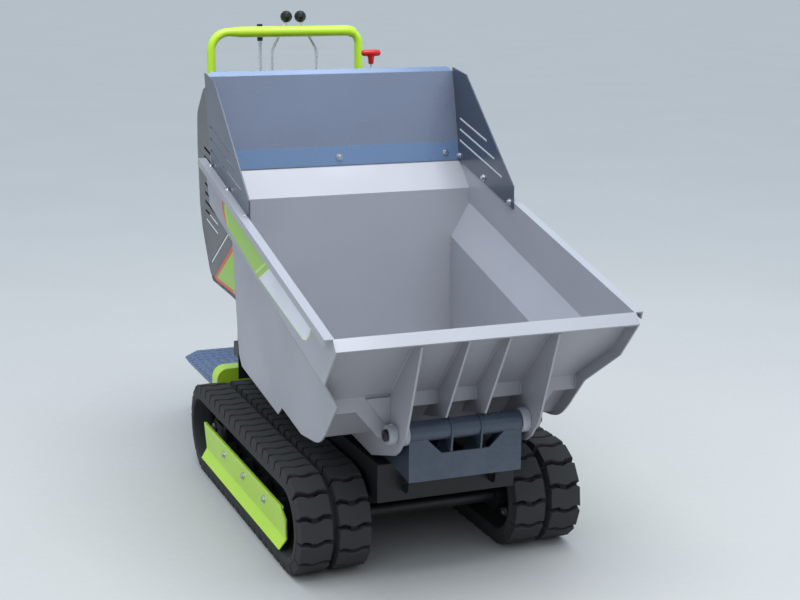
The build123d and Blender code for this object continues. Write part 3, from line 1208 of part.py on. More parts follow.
# ---------------------------------------------------------------- tipping cylinder
cylinder_base = (CHASSIS_FRONT + CYLINDER_BASE_SETBACK, CHASSIS_BOTTOM + CYLINDER_BASE_RISE)
cylinder_eye = (CYLINDER_EYE_STATION, floor_under(CYLINDER_EYE_STATION) - CYLINDER_EYE_DROP)
closed_length = math.hypot(cylinder_eye[0] - cylinder_base[0], cylinder_eye[1] - cylinder_base[1])
cylinder_plane = Plane(
    origin=(0, FRONT_AXLE_Y + cylinder_base[0], AXLE_HEIGHT + cylinder_base[1]),
    x_dir=(1, 0, 0),
    z_dir=(0, cylinder_eye[0] - cylinder_base[0], cylinder_eye[1] - cylinder_base[1]),
)
barrel_start = 2 * EYE_RADIUS + RUNNING_GAP
barrel_length = closed_length - barrel_start - 2 * EYE_RADIUS - 4 * RUNNING_GAP
bore_start = barrel_start + 2 * PLATE
with BuildPart() as cylinder_barrel:
    with BuildSketch(cylinder_plane):
        Circle(EYE_RADIUS * 2 / 3)
    extrude(amount=barrel_start + PLATE)
    with BuildSketch(cylinder_plane.offset(barrel_start)):
        Circle(BARREL_RADIUS)
    extrude(amount=barrel_length)
    with BuildSketch(side(-EYE_WIDTH / 2)):
        with Locations(cylinder_base):
            Circle(EYE_RADIUS)
    extrude(amount=EYE_WIDTH)
    with BuildSketch(cylinder_plane.offset(bore_start)):
        Circle(ROD_RADIUS + FIT)
    extrude(amount=barrel_length, mode=Mode.SUBTRACT)
    with BuildSketch(side(-EYE_WIDTH)):
        with Locations(cylinder_base):
            Circle(CYLINDER_PIN_RADIUS + FIT)
    extrude(amount=2 * EYE_WIDTH, mode=Mode.SUBTRACT)
pieces["cylinder_barrel"] = cylinder_barrel.part

with BuildPart() as cylinder_rod:
    with BuildSketch(cylinder_plane.offset(bore_start + FIT)):
        Circle(ROD_RADIUS)
    extrude(amount=closed_length - bore_start - FIT)
    with BuildSketch(side(-EYE_WIDTH / 2)):
        with Locations(cylinder_eye):
            Circle(EYE_RADIUS)
    extrude(amount=EYE_WIDTH)
pieces["cylinder_rod"] = cylinder_rod.part

mount_inner = EYE_WIDTH / 2 + PIN_CLEARANCE
mount_height = cylinder_base[1] - CHASSIS_BOTTOM - PLATE
with BuildPart() as cylinder_mount:
    with BuildSketch(side(-mount_inner - LUG_PLATE), side(mount_inner)):
        with Locations(cylinder_base):
            Circle(EYE_RADIUS)
        with Locations((cylinder_base[0], cylinder_base[1] - mount_height / 2)):
            Rectangle(2 * EYE_RADIUS, mount_height)
    extrude(amount=LUG_PLATE)
    with BuildSketch(side(-mount_inner - LUG_PLATE)):
        with Locations(cylinder_base):
            Circle(CYLINDER_PIN_RADIUS)
    extrude(amount=2 * (mount_inner + LUG_PLATE))
pieces["cylinder_mount"] = cylinder_mount.part

lug_inner = EYE_WIDTH / 2 + RUNNING_GAP
lug_front = cylinder_eye[0] - 2 * EYE_RADIUS
lug_rear = cylinder_eye[0] + 2 * EYE_RADIUS
with BuildPart() as cylinder_lugs:
    with BuildSketch(side(-lug_inner - LUG_PLATE), side(lug_inner)):
        with BuildLine():
            Polyline(
                (lug_front, floor_under(lug_front)),
                (lug_front + EYE_RADIUS, cylinder_eye[1] - EYE_RADIUS),
                (lug_rear - EYE_RADIUS, cylinder_eye[1] - EYE_RADIUS),
                (lug_rear, floor_under(lug_rear)),
                close=True,
            )
        make_face()
    extrude(amount=LUG_PLATE)
pieces["cylinder_lugs"] = cylinder_lugs.part

# ---------------------------------------------------------------- operator's platform
deck_under = PLATFORM_LEVEL - PLATFORM_THICKNESS
heel_start = PLATFORM_REAR - PLATFORM_HEEL
with BuildPart() as platform:
    with BuildSketch(side(-PLATFORM_HALF_WIDTH)):
        with BuildLine():
            # the tread, then the heel that rises behind the fold
            Polyline(
                (PLATFORM_FRONT, PLATFORM_LEVEL),
                (heel_start, PLATFORM_LEVEL),
                (PLATFORM_REAR, PLATFORM_LEVEL + PLATFORM_HEEL_RISE),
                (PLATFORM_REAR, deck_under + PLATFORM_HEEL_RISE),
                (heel_start, deck_under),
                (PLATFORM_FRONT, deck_under),
                close=True,
            )
        make_face()
    extrude(amount=2 * PLATFORM_HALF_WIDTH)
    chamfer(edges().filter_by(Axis.Z).group_by(Axis.Y)[-1], PLATFORM_CORNER)
    knuckle_starts = (-KNUCKLE_OFFSET - KNUCKLE_LENGTH / 2, KNUCKLE_OFFSET - KNUCKLE_LENGTH / 2)
    with BuildSketch(*[side(x) for x in knuckle_starts]):
        with BuildLine():
            Polyline(
                PLATFORM_PIN,
                (PLATFORM_PIN[0], PLATFORM_PIN[1] + KNUCKLE_RADIUS),
                (PLATFORM_FRONT, deck_under),
                (PLATFORM_FRONT + 3 * KNUCKLE_RADIUS, deck_under),
                (PLATFORM_PIN[0], PLATFORM_PIN[1] - KNUCKLE_RADIUS),
                close=True,
            )
        make_face()
        with Locations(PLATFORM_PIN):
            Circle(KNUCKLE_RADIUS)
            Circle(PLATFORM_PIN_RADIUS + FIT, mode=Mode.SUBTRACT)
    extrude(amount=KNUCKLE_LENGTH)
pieces["platform"] = platform.part

hinge_ear_offset = KNUCKLE_OFFSET + KNUCKLE_LENGTH / 2 + RUNNING_GAP
with BuildPart() as platform_hinge:
    ear_starts = (-hinge_ear_offset - PIN_EAR_WIDTH, -PIN_EAR_WIDTH / 2, hinge_ear_offset)
    with BuildSketch(*[side(x) for x in ear_starts]):
        with Locations(PLATFORM_PIN):
            Circle(KNUCKLE_RADIUS)
        with Locations((PLATFORM_PIN[0] - PLATFORM_PIN_GAP / 2, PLATFORM_PIN[1])):
            Rectangle(PLATFORM_PIN_GAP, 2 * KNUCKLE_RADIUS)
    extrude(amount=PIN_EAR_WIDTH)
    with BuildSketch(side(-hinge_ear_offset - PIN_EAR_WIDTH)):
        with Locations(PLATFORM_PIN):
            Circle(PLATFORM_PIN_RADIUS)
    extrude(amount=2 * (hinge_ear_offset + PIN_EAR_WIDTH))
pieces["platform_hinge"] = platform_hinge.part

for name, piece in pieces.items():
    piece.label = name
    export_step(piece, f"parts/{name}.step")
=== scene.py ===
"""Looks of the tracked site dumper: finishes, fasteners, welds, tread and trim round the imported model."""

import logging
import math
import random
from dataclasses import dataclass
from enum import Enum
from typing import Callable, Iterable, Sequence, Union

import bmesh
import bpy
from mathutils import Matrix, Vector

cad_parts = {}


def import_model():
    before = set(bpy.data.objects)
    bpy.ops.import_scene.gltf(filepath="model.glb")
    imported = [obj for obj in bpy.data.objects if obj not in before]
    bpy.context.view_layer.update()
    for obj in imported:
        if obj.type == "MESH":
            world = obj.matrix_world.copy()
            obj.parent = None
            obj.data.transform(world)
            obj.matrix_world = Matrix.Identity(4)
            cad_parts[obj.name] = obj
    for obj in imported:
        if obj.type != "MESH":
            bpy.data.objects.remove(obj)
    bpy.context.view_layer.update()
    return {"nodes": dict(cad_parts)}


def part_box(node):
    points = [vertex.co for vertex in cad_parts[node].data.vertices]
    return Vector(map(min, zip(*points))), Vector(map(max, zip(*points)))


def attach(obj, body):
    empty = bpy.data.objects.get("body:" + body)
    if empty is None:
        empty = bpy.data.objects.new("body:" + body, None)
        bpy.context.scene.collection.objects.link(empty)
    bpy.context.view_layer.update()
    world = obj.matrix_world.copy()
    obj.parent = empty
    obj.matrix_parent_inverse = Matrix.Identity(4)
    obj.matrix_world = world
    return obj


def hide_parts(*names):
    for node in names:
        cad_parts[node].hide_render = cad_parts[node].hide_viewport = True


LOG = logging.getLogger("dumper")
MM = 0.001
ACROSS, BACK, UP = Vector((1, 0, 0)), Vector((0, 1, 0)), Vector((0, 0, 1))
SIDES = {-1.0: "left", 1.0: "right"}
Colour = tuple[float, float, float]
Point2 = tuple[float, float]
Profile = tuple[Point2, ...]
Socket = bpy.types.NodeSocket
SocketValue = Union[Socket, float, int, tuple, Vector]


def screen(red: int, green: int, blue: int) -> Colour:
    """Turn a colour as it looks on a screen into the linear one a shader takes.

    Args:
        red: Red from 0 to 255.
        green: Green from 0 to 255.
        blue: Blue from 0 to 255.

    Returns:
        The linear colour.
    """
    shares = (red / 255.0, green / 255.0, blue / 255.0)
    return tuple(s / 12.92 if s <= 0.04045 else ((s + 0.055) / 1.055) ** 2.4 for s in shares)


# ---------------------------------------------------------------- shader wiring
class Wiring:
    """Places nodes in one tree and joins their sockets."""

    def __init__(self, tree: bpy.types.NodeTree) -> None:
        """Start on a tree, emptied first."""
        self.tree = tree
        self.tree.nodes.clear()

    def node(self, kind: str, inputs: dict | None = None, **settings: object) -> bpy.types.Node:
        """Place one node.

        Args:
            kind: Blender's name of the node type.
            inputs: Socket name or number to a value, or to a socket that is linked to it.
            **settings: Attributes of the node.

        Returns:
            The new node.
        """
        made = self.tree.nodes.new(kind)
        for name, value in settings.items():
            setattr(made, name, value)
        for name, value in (inputs or {}).items():
            self.feed(made.inputs[name], value)
        return made

    def feed(self, socket: Socket, value: SocketValue) -> None:
        """Link a socket into another, or set its plain value.

        Args:
            socket: Input to fill.
            value: Output socket to link from, or a number, vector or colour.
        """
        if isinstance(value, Socket):
            self.tree.links.new(value, socket)
        elif socket.type == "RGBA":
            socket.default_value = (*value[:3], 1.0)
        else:
            socket.default_value = value

    def maths(self, operation: str, first: SocketValue, second: SocketValue, clamp: bool = False) -> Socket:
        """Combine two numbers.

        Args:
            operation: Name of the Math node's operation.
            first: First number or socket.
            second: Second number or socket.
            clamp: Whether the result is kept between 0 and 1.

        Returns:
            Output socket with the result.
        """
        made = self.node("ShaderNodeMath", {0: first, 1: second}, operation=operation, use_clamp=clamp)
        return made.outputs[0]

    def scaled(self, first: SocketValue, second: SocketValue) -> Socket:
        """Multiply two numbers or sockets."""
        return self.maths("MULTIPLY", first, second)

    def blend(self, share: SocketValue, below: SocketValue, above: SocketValue) -> Socket:
        """Mix two colours.

        Args:
            share: How much of the upper colour shows, from 0 to 1.
            below: Lower colour or socket.
            above: Upper colour or socket.

        Returns:
            Output socket with the mixed colour.
        """
        inputs = {0: share, 6: below, 7: above}
        made = self.node("ShaderNodeMix", data_type="RGBA", clamp_factor=True)
        for number, value in inputs.items():
            self.feed(made.inputs[number], value)
        return made.outputs[2]

    def span(
        self, value: SocketValue, low: float, high: float, to_low: float = 0.0, to_high: float = 1.0,
    ) -> Socket:
        """Map a number smoothly from one range to another.

        Args:
            value: Number or socket to map.
            low: Value that maps to to_low.
            high: Value that maps to to_high.
            to_low: Result at low.
            to_high: Result at high.

        Returns:
            Output socket with the mapped number.
        """
        inputs = {"Value": value, "From Min": low, "From Max": high, "To Min": to_low, "To Max": to_high}
        return self.node("ShaderNodeMapRange", inputs, interpolation_type="SMOOTHSTEP").outputs[0]

    def noise(self, place: Socket, scale: SocketValue, detail: float, rough: float) -> Socket:
        """Fractal noise over the surface.

        Args:
            place: Socket with the coordinates.
            scale: Waves per metre.
            detail: Octaves.
            rough: How strong the finer octaves are.

        Returns:
            Output socket with the noise from 0 to 1.
        """
        inputs = {"Vector": place, "Scale": scale, "Detail": detail, "Roughness": rough}
        return self.node("ShaderNodeTexNoise", inputs).outputs["Fac"]

    def bump(self, strength: float, distance: float, height: Socket, normal: Socket) -> Socket:
        """Raise the surface a little.

        Args:
            strength: Share of the relief that shows.
            distance: Depth of the relief in metres.
            height: Socket with the relief.
            normal: Socket with the normal that it is laid on.

        Returns:
            Output socket with the new normal.
        """
        inputs = {"Strength": strength, "Distance": distance, "Height": height, "Normal": normal}
        return self.node("ShaderNodeBump", inputs).outputs[0]


class Effect(Enum):
    """Node groups that more than one finish uses."""

    EDGES = "rounded_edges"
    COAT = "coat_texture"
    DUST = "settled_dust"
    SCRATCHES = "fine_scratches"


def new_group(effect: Effect, numbers: dict[str, float], outputs: Sequence[str]) -> tuple:
    """Start a node group that takes a place on the surface and some numbers.

    Args:
        effect: Effect that it makes.
        numbers: Name and default of each number it takes.
        outputs: Names of what it gives: a vector for Normal and numbers for the others.

    Returns:
        The wiring of the group, the sockets it is given and the sockets it fills.
    """
    vector, number = "NodeSocketVector", "NodeSocketFloat"
    tree = bpy.data.node_groups.new(effect.value, "ShaderNodeTree")
    tree.interface.new_socket(name="Place", in_out="INPUT", socket_type=vector)
    for label, default in numbers.items():
        tree.interface.new_socket(name=label, in_out="INPUT", socket_type=number).default_value = default
    for label in outputs:
        kind = vector if label == "Normal" else number
        tree.interface.new_socket(name=label, in_out="OUTPUT", socket_type=kind)
    wiring = Wiring(tree)
    return wiring, wiring.node("NodeGroupInput").outputs, wiring.node("NodeGroupOutput").inputs


def build_edges() -> bpy.types.NodeTree:
    """Make the group that rounds edges and finds where a coat rubs thin on them.

    Returns:
        The node group.
    """
    wiring, given, leave = new_group(Effect.EDGES, {"Radius": 0.001, "Patchiness": 60.0}, ("Normal", "Rub"))
    soft = wiring.node("ShaderNodeBevel", {"Radius": given["Radius"]}, samples=4).outputs[0]
    flat = wiring.node("ShaderNodeNewGeometry").outputs["Normal"]
    turn = wiring.node("ShaderNodeVectorMath", {0: soft, 1: flat}, operation="DOT_PRODUCT").outputs["Value"]
    edge = wiring.span(wiring.maths("SUBTRACT", 1.0, turn), 0.004, 0.05)
    patch = wiring.span(wiring.noise(given["Place"], given["Patchiness"], 4.0, 0.7), 0.42, 0.62)
    wiring.feed(leave["Normal"], soft)
    wiring.feed(leave["Rub"], wiring.scaled(edge, patch))
    return wiring.tree


def build_coat() -> bpy.types.NodeTree:
    """Make the group for a powder coat: fine orange peel, flake sparkle and slow clouds of tone.

    Returns:
        The node group.
    """
    numbers = {"Peel Scale": 900.0, "Cloud Scale": 4.0}
    wiring, given, leave = new_group(Effect.COAT, numbers, ("Height", "Cloud", "Flake"))
    cloud = wiring.noise(given["Place"], given["Cloud Scale"], 4.0, 0.5)
    cell = wiring.node("ShaderNodeTexVoronoi", {"Vector": given["Place"], "Scale": 2200.0}, feature="F1")
    flake = wiring.node("ShaderNodeSeparateColor", {"Color": cell.outputs["Color"]}).outputs[0]
    wiring.feed(leave["Height"], wiring.noise(given["Place"], given["Peel Scale"], 2.0, 0.5))
    wiring.feed(leave["Cloud"], wiring.span(cloud, 0.3, 0.7))
    wiring.feed(leave["Flake"], flake)
    return wiring.tree


def build_dust() -> bpy.types.NodeTree:
    """Make the group for dust: more low down and on faces that look up, in patches.

    Returns:
        The node group.
    """
    numbers = {"Full Below": 0.02, "None Above": 0.4, "Patch Scale": 30.0}
    wiring, given, leave = new_group(Effect.DUST, numbers, ("Mask",))
    height = wiring.node("ShaderNodeSeparateXYZ", {0: given["Place"]}).outputs["Z"]
    fall = wiring.span(height, given["Full Below"], given["None Above"], 1.0, 0.0)
    normal = wiring.node("ShaderNodeNewGeometry").outputs["Normal"]
    upward = wiring.span(wiring.node("ShaderNodeSeparateXYZ", {0: normal}).outputs["Z"], 0.1, 0.95, 0.45, 1.0)
    patch = wiring.span(wiring.noise(given["Place"], given["Patch Scale"], 6.0, 0.65), 0.38, 0.66)
    fine = wiring.span(wiring.noise(given["Place"], 260.0, 3.0, 0.6), 0.3, 0.75, 0.55, 1.0)
    wiring.feed(leave["Mask"], wiring.scaled(wiring.scaled(fall, upward), wiring.scaled(patch, fine)))
    return wiring.tree


def build_scratches() -> bpy.types.NodeTree:
    """Make the group for thin scratches that run two ways, broken up.

    Returns:
        The node group.
    """
    wiring, given, leave = new_group(Effect.SCRATCHES, {"Scale": 14.0}, ("Mask",))
    lines = []
    for stretch in ((1.0, 0.06, 1.0), (0.08, 1.0, 0.7)):
        inputs = {"Vector": given["Place"], "Rotation": (0.5, 0.3, 0.9), "Scale": stretch}
        inputs = {"Vector": wiring.node("ShaderNodeMapping", inputs).outputs[0], "Scale": given["Scale"]}
        cell = wiring.node("ShaderNodeTexVoronoi", inputs, feature="DISTANCE_TO_EDGE").outputs[0]
        lines.append(wiring.span(cell, 0.0, 0.012, 1.0, 0.0))
    broken = wiring.span(wiring.noise(given["Place"], 18.0, 3.0, 0.6), 0.5, 0.65)
    wiring.feed(leave["Mask"], wiring.scaled(wiring.maths("MAXIMUM", *lines), broken))
    return wiring.tree


class Effects:
    """Builds each shared node group once and places it in materials."""

    builders: dict[Effect, Callable[[], bpy.types.NodeTree]] = {
        Effect.EDGES: build_edges,
        Effect.COAT: build_coat,
        Effect.DUST: build_dust,
        Effect.SCRATCHES: build_scratches,
    }
    made: dict[Effect, bpy.types.NodeTree] = {}

    @classmethod
    def place(cls, wiring: Wiring, effect: Effect, inputs: dict) -> Sequence[Socket]:
        """Put one effect into a material.

        Args:
            wiring: Material's wiring.
            effect: Which group.
            inputs: Socket name to value or socket.

        Returns:
            The group's outputs, by name.
        """
        if effect not in cls.made:
            cls.made[effect] = cls.builders[effect]()
        node = wiring.node("ShaderNodeGroup", node_tree=cls.made[effect])
        for name, value in inputs.items():
            wiring.feed(node.inputs[name], value)
        return node.outputs


# ---------------------------------------------------------------- finishes
@dataclass(frozen=True)
class Finish:
    """What every finish has: a name, the material slot it belongs to, a colour, and a material built once."""

    name: str
    slot: str
    colour: Colour

    def material(self) -> bpy.types.Material:
        """Give the finish's material, building it at the first call.

        Returns:
            The material.
        """
        found = bpy.data.materials.get(self.name)
        if found is None:
            found = bpy.data.materials.new(self.name)
            found.use_nodes = True
            self.wire(Wiring(found.node_tree))
        return found

    def wire(self, wiring: Wiring) -> None:
        """Build the material's nodes."""
        raise NotImplementedError

    def tint(self, factor: float) -> Colour:
        """Give the finish's colour darker or paler by a factor, up to white."""
        return tuple(min(1.0, part * factor) for part in self.colour)

    @staticmethod
    def start(wiring: Wiring, radius: float, patchiness: float) -> tuple[Socket, Sequence[Socket]]:
        """Place the nodes that every finish starts from.

        Args:
            wiring: The material's wiring.
            radius: Radius of the rounded edges in metres.
            patchiness: Patches a metre in which the edges rub thin.

        Returns:
            The object's own coordinates, and the outputs of its rounded edges.
        """
        place = wiring.node("ShaderNodeTexCoord").outputs["Object"]
        inputs = {"Place": place, "Radius": radius, "Patchiness": patchiness}
        return place, Effects.place(wiring, Effect.EDGES, inputs)

    @staticmethod
    def shade_with(wiring: Wiring, inputs: dict) -> None:
        """Place the Principled shader with its inputs, and the output."""
        shader = wiring.node("ShaderNodeBsdfPrincipled", inputs)
        wiring.node("ShaderNodeOutputMaterial", {"Surface": shader.outputs[0]})


@dataclass(frozen=True)
class PowderCoat(Finish):
    """Powder-coated sheet steel, with rubbed edges and dust low down."""

    shade: float = 0.88
    metallic: float = 0.0
    roughness: float = 0.42
    coat: float = 0.0
    edge_radius: float = 0.9 * MM
    rub: float = 0.35
    rub_colour: Colour = (0.42, 0.42, 0.44)
    dust: float = 0.35
    dust_top: float = 0.35
    dust_colour: Colour = screen(168, 152, 132)
    scratches: float = 0.0
    peel: float = 0.05

    def wire(self, wiring: Wiring) -> None:
        """Build the coat's nodes.

        Args:
            wiring: The material's wiring.
        """
        place, edges = self.start(wiring, self.edge_radius, 45.0)
        coat = Effects.place(wiring, Effect.COAT, {"Place": place, "Peel Scale": 800.0, "Cloud Scale": 3.0})
        inputs = {"Place": place, "Full Below": 0.02, "None Above": self.dust_top}
        dust = Effects.place(wiring, Effect.DUST, inputs)
        tone = wiring.blend(coat["Cloud"], self.tint(self.shade), self.colour)
        if self.metallic > 0.2:
            tone = wiring.blend(wiring.scaled(coat["Flake"], 0.35), tone, self.tint(1.12))
        if self.scratches > 0.0:
            marks = Effects.place(wiring, Effect.SCRATCHES, {"Place": place, "Scale": 11.0})
            tone = wiring.blend(wiring.scaled(marks["Mask"], self.scratches), tone, self.rub_colour)
        tone = wiring.blend(wiring.scaled(edges["Rub"], self.rub), tone, self.rub_colour)
        grime = wiring.scaled(dust["Mask"], self.dust)
        tone = wiring.blend(grime, tone, self.dust_colour)
        rough = wiring.span(coat["Cloud"], 0.0, 1.0, self.roughness + 0.05, self.roughness - 0.03)
        rough = wiring.maths("ADD", rough, wiring.scaled(grime, 0.4), clamp=True)
        bump = wiring.bump(self.peel, 0.4 * MM, coat["Height"], edges["Normal"])
        inputs = {"Base Color": tone, "Metallic": self.metallic, "Roughness": rough, "Normal": bump}
        if self.coat > 0.0:
            inputs |= {"Coat Weight": self.coat, "Coat Roughness": 0.12}
        self.shade_with(wiring, inputs)


@dataclass(frozen=True)
class Rubber(Finish):
    """Moulded track rubber with dried mud in its hollows."""

    dust_colour: Colour
    dust: float
    roughness: float
    edge_radius: float

    def wire(self, wiring: Wiring) -> None:
        """Build the rubber's nodes.

        Args:
            wiring: The material's wiring.
        """
        place, edges = self.start(wiring, self.edge_radius, 70.0)
        inputs = {"Place": place, "Full Below": 0.0, "None Above": 0.33, "Patch Scale": 14.0}
        low = Effects.place(wiring, Effect.DUST, inputs)
        grain = wiring.noise(place, 420.0, 5.0, 0.6)
        stain = wiring.span(wiring.noise(place, 16.0, 6.0, 0.7), 0.46, 0.68)
        worn = wiring.span(wiring.noise(place, 60.0, 4.0, 0.6), 0.35, 0.75)
        tone = wiring.blend(worn, self.colour, self.tint(2.2))
        tone = wiring.blend(wiring.scaled(edges["Rub"], 0.5), tone, self.tint(3.0))
        mud = wiring.scaled(wiring.maths("MAXIMUM", low["Mask"], wiring.scaled(stain, 0.35)), self.dust)
        tone = wiring.blend(mud, tone, self.dust_colour)
        rough = wiring.span(grain, 0.3, 0.7, self.roughness - 0.12, self.roughness)
        rough = wiring.maths("ADD", rough, wiring.scaled(mud, 0.2), clamp=True)
        bump = wiring.bump(0.35, 0.8 * MM, grain, edges["Normal"])
        self.shade_with(wiring, {"Base Color": tone, "Roughness": rough, "Normal": bump})


@dataclass(frozen=True)
class BareSteel(Finish):
    """Turned, plated or chromed steel, with a fine grain and dull patches."""

    roughness: float
    stain: float = 0.25
    edge_radius: float = 0.5 * MM
    metallic: float = 1.0

    def wire(self, wiring: Wiring) -> None:
        """Build the steel's nodes.

        Args:
            wiring: The material's wiring.
        """
        place, edges = self.start(wiring, self.edge_radius, 120.0)
        streak = wiring.node("ShaderNodeMapping", {"Vector": place, "Scale": (1600.0, 60.0, 60.0)}).outputs[0]
        grain = wiring.noise(streak, 1.0, 3.0, 0.6)
        dull = wiring.span(wiring.noise(place, 35.0, 5.0, 0.65), 0.45, 0.7)
        tone = wiring.blend(wiring.scaled(dull, self.stain), self.colour, self.tint(0.55))
        rough = wiring.span(wiring.maths("ADD", grain, dull), 0.4, 1.4, self.roughness, self.roughness + 0.16)
        bump = wiring.bump(0.08, 0.2 * MM, grain, edges["Normal"])
        inputs = {"Base Color": tone, "Metallic": self.metallic, "Roughness": rough, "Normal": bump}
        self.shade_with(wiring, inputs)


@dataclass(frozen=True)
class Moulded(Finish):
    """Moulded plastic or a smooth film with a faint grain."""

    roughness: float
    grain: float = 0.12
    edge_radius: float = 0.8 * MM

    def wire(self, wiring: Wiring) -> None:
        """Build the plastic's nodes.

        Args:
            wiring: The material's wiring.
        """
        place, edges = self.start(wiring, self.edge_radius, 80.0)
        fine = wiring.noise(place, 700.0, 3.0, 0.5)
        slow = wiring.span(wiring.noise(place, 9.0, 4.0, 0.5), 0.3, 0.7)
        tone = wiring.blend(slow, self.tint(0.9), self.colour)
        both = wiring.maths("ADD", fine, slow)
        rough = wiring.span(both, 0.4, 1.5, self.roughness - 0.05, self.roughness + 0.08)
        bump = wiring.bump(self.grain, 0.3 * MM, fine, edges["Normal"])
        self.shade_with(wiring, {"Base Color": tone, "Roughness": rough, "Normal": bump})


@dataclass(frozen=True)
class PlainFloor(Finish):
    """Pale, faintly mottled studio floor."""

    def wire(self, wiring: Wiring) -> None:
        """Build the floor's nodes.

        Args:
            wiring: The material's wiring.
        """
        place = wiring.node("ShaderNodeTexCoord").outputs["Object"]
        slow = wiring.span(wiring.noise(place, 0.9, 5.0, 0.55), 0.3, 0.7)
        fine = wiring.noise(place, 45.0, 4.0, 0.6)
        tone = wiring.blend(slow, self.tint(0.97), self.colour)
        tone = wiring.blend(wiring.scaled(fine, 0.05), tone, self.tint(0.8))
        self.shade_with(wiring, {"Base Color": tone, "Roughness": wiring.span(fine, 0.3, 0.7, 0.62, 0.8)})


def film(name: str, slot: str, colour: Colour) -> Moulded:
    """Give the finish of a thin coloured film."""
    return Moulded(name, slot, colour, roughness=0.35, grain=0.03, edge_radius=0.2 * MM)


SKIP_GREY = PowderCoat(
    "skip_grey_coat", "skip_grey", screen(168, 168, 174), shade=0.93, metallic=0.15, roughness=0.38, rub=0.25,
    rub_colour=(0.5, 0.5, 0.52), dust=0.2, dust_top=0.5, scratches=0.04, peel=0.06,
)
ANTHRACITE = PowderCoat(
    "anthracite_coat", "anthracite", screen(60, 72, 88), metallic=0.15, roughness=0.3, coat=0.3, rub=0.3,
    dust=0.3, dust_top=0.6,
)
# Same anthracite paint as the wings, made much lighter: painted light on the splash guard's face, which faces
# the sky.
GUARD_PAINTED_LIGHT_COAT = PowderCoat(
    "guard_painted_light_coat", "anthracite", screen(118, 127, 147), metallic=0.2, roughness=0.26, coat=0.5, rub=0.3,
    dust=0.1, dust_top=0.6,
)
# Same anthracite paint, made blue on the guard's foot and top flange: a painted reflection of the blue sky.
BEND_SKY_REFLECTION_COAT = PowderCoat(
    "guard_bend_painted_reflection_coat", "anthracite", screen(102, 126, 160), shade=0.92, metallic=0.2, roughness=0.26,
    coat=0.5, rub=0.3, dust=0.1, dust_top=0.6,
)
WING_COAT = PowderCoat(
    "wing_coat", "anthracite", screen(66, 75, 91), metallic=0.15, roughness=0.3, coat=0.3, rub=0.3, dust=0.1,
    dust_top=0.6,
)
PANEL_GREY = PowderCoat(
    "panel_grey_coat", "panel_grey", screen(112, 112, 113), metallic=0.25, roughness=0.45, rub=0.25, dust=0.2,
    dust_top=0.6,
)
# Black paint, set darker than the paint itself: partly painted shade, for the chassis lying in shade under the
# skip.
BLACK_AND_SHADE_COAT = PowderCoat(
    "black_coat_and_painted_shade", "black_paint", screen(15, 16, 19), roughness=0.44, rub_colour=(0.12, 0.12, 0.13), dust=0.04,
    dust_top=0.3,
)
LIME_GREEN = PowderCoat(
    "lime_green_coat", "lime_green", screen(186, 226, 48), shade=0.94, roughness=0.34, coat=0.25, rub=0.25,
    rub_colour=(0.6, 0.75, 0.3), dust=0.1, dust_top=0.25,
)
TREAD_COAT = PowderCoat(
    "tread_plate_coat", "tread_plate", screen(84, 104, 140), metallic=0.4, roughness=0.3, rub=0.8,
    rub_colour=(0.45, 0.5, 0.58), dust=0.12, dust_top=0.5,
)
BAR_COAT = PowderCoat(
    "tread_bar_coat", "tread_plate", screen(112, 134, 172), metallic=0.4, roughness=0.28, rub=0.9,
    rub_colour=(0.5, 0.56, 0.66), dust=0.08, dust_top=0.5,
)
ENGINE_CAST = PowderCoat(
    "engine_cast", "engine_metal", screen(58, 59, 62), metallic=0.4, roughness=0.55, rub=0.3, dust=0.5,
    dust_top=1.2, peel=0.4,
)
TRACK_RUBBER = Rubber(
    "track_rubber", "track_rubber", screen(27, 31, 37), dust_colour=screen(128, 120, 112), dust=0.3,
    roughness=0.6, edge_radius=1.5 * MM,
)
SOFT_RUBBER = Rubber(
    "soft_rubber", "track_rubber", screen(30, 30, 31), dust_colour=screen(120, 112, 100), dust=0.2,
    roughness=0.62, edge_radius=1.0 * MM,
)
PLATED_STEEL = BareSteel("plated_steel", "bright_steel", screen(196, 198, 204), 0.26)
TURNED_STEEL = BareSteel("turned_steel", "bright_steel", screen(165, 166, 170), 0.34, stain=0.5)
LEVER_STEEL = BareSteel("lever_steel", "bright_steel", screen(226, 228, 233), 0.24, stain=0.1, metallic=0.5)
CHROME = BareSteel("chrome", "bright_steel", screen(214, 216, 222), 0.1, stain=0.1)
BLACK_PLASTIC = Moulded("black_plastic", "black_plastic", screen(20, 20, 22), 0.18)
RED_PLASTIC = Moulded("red_plastic", "red_plastic", screen(232, 66, 76), 0.34)
GREEN_FILM = film("green_film", "lime_green", screen(160, 206, 74))
PALE_GREEN_FILM = film("pale_green_film", "lime_green", screen(206, 230, 140))
PALE_EDGE_FILM = film("pale_edge_film", "lime_green", screen(226, 238, 196))
WHITE_FILM = film("white_film", "skip_grey", screen(232, 232, 240))
ORANGE_FILM = film("orange_film", "skip_grey", screen(226, 84, 42))
# Dark strip at the foot of the side panels: painted shade of the panels' lower flange.
FLANGE_SHADE_FILM = film("flange_painted_shade_film", "panel_grey", screen(34, 34, 38))
FLOOR = PlainFloor("studio_floor", "", screen(184, 181, 176))

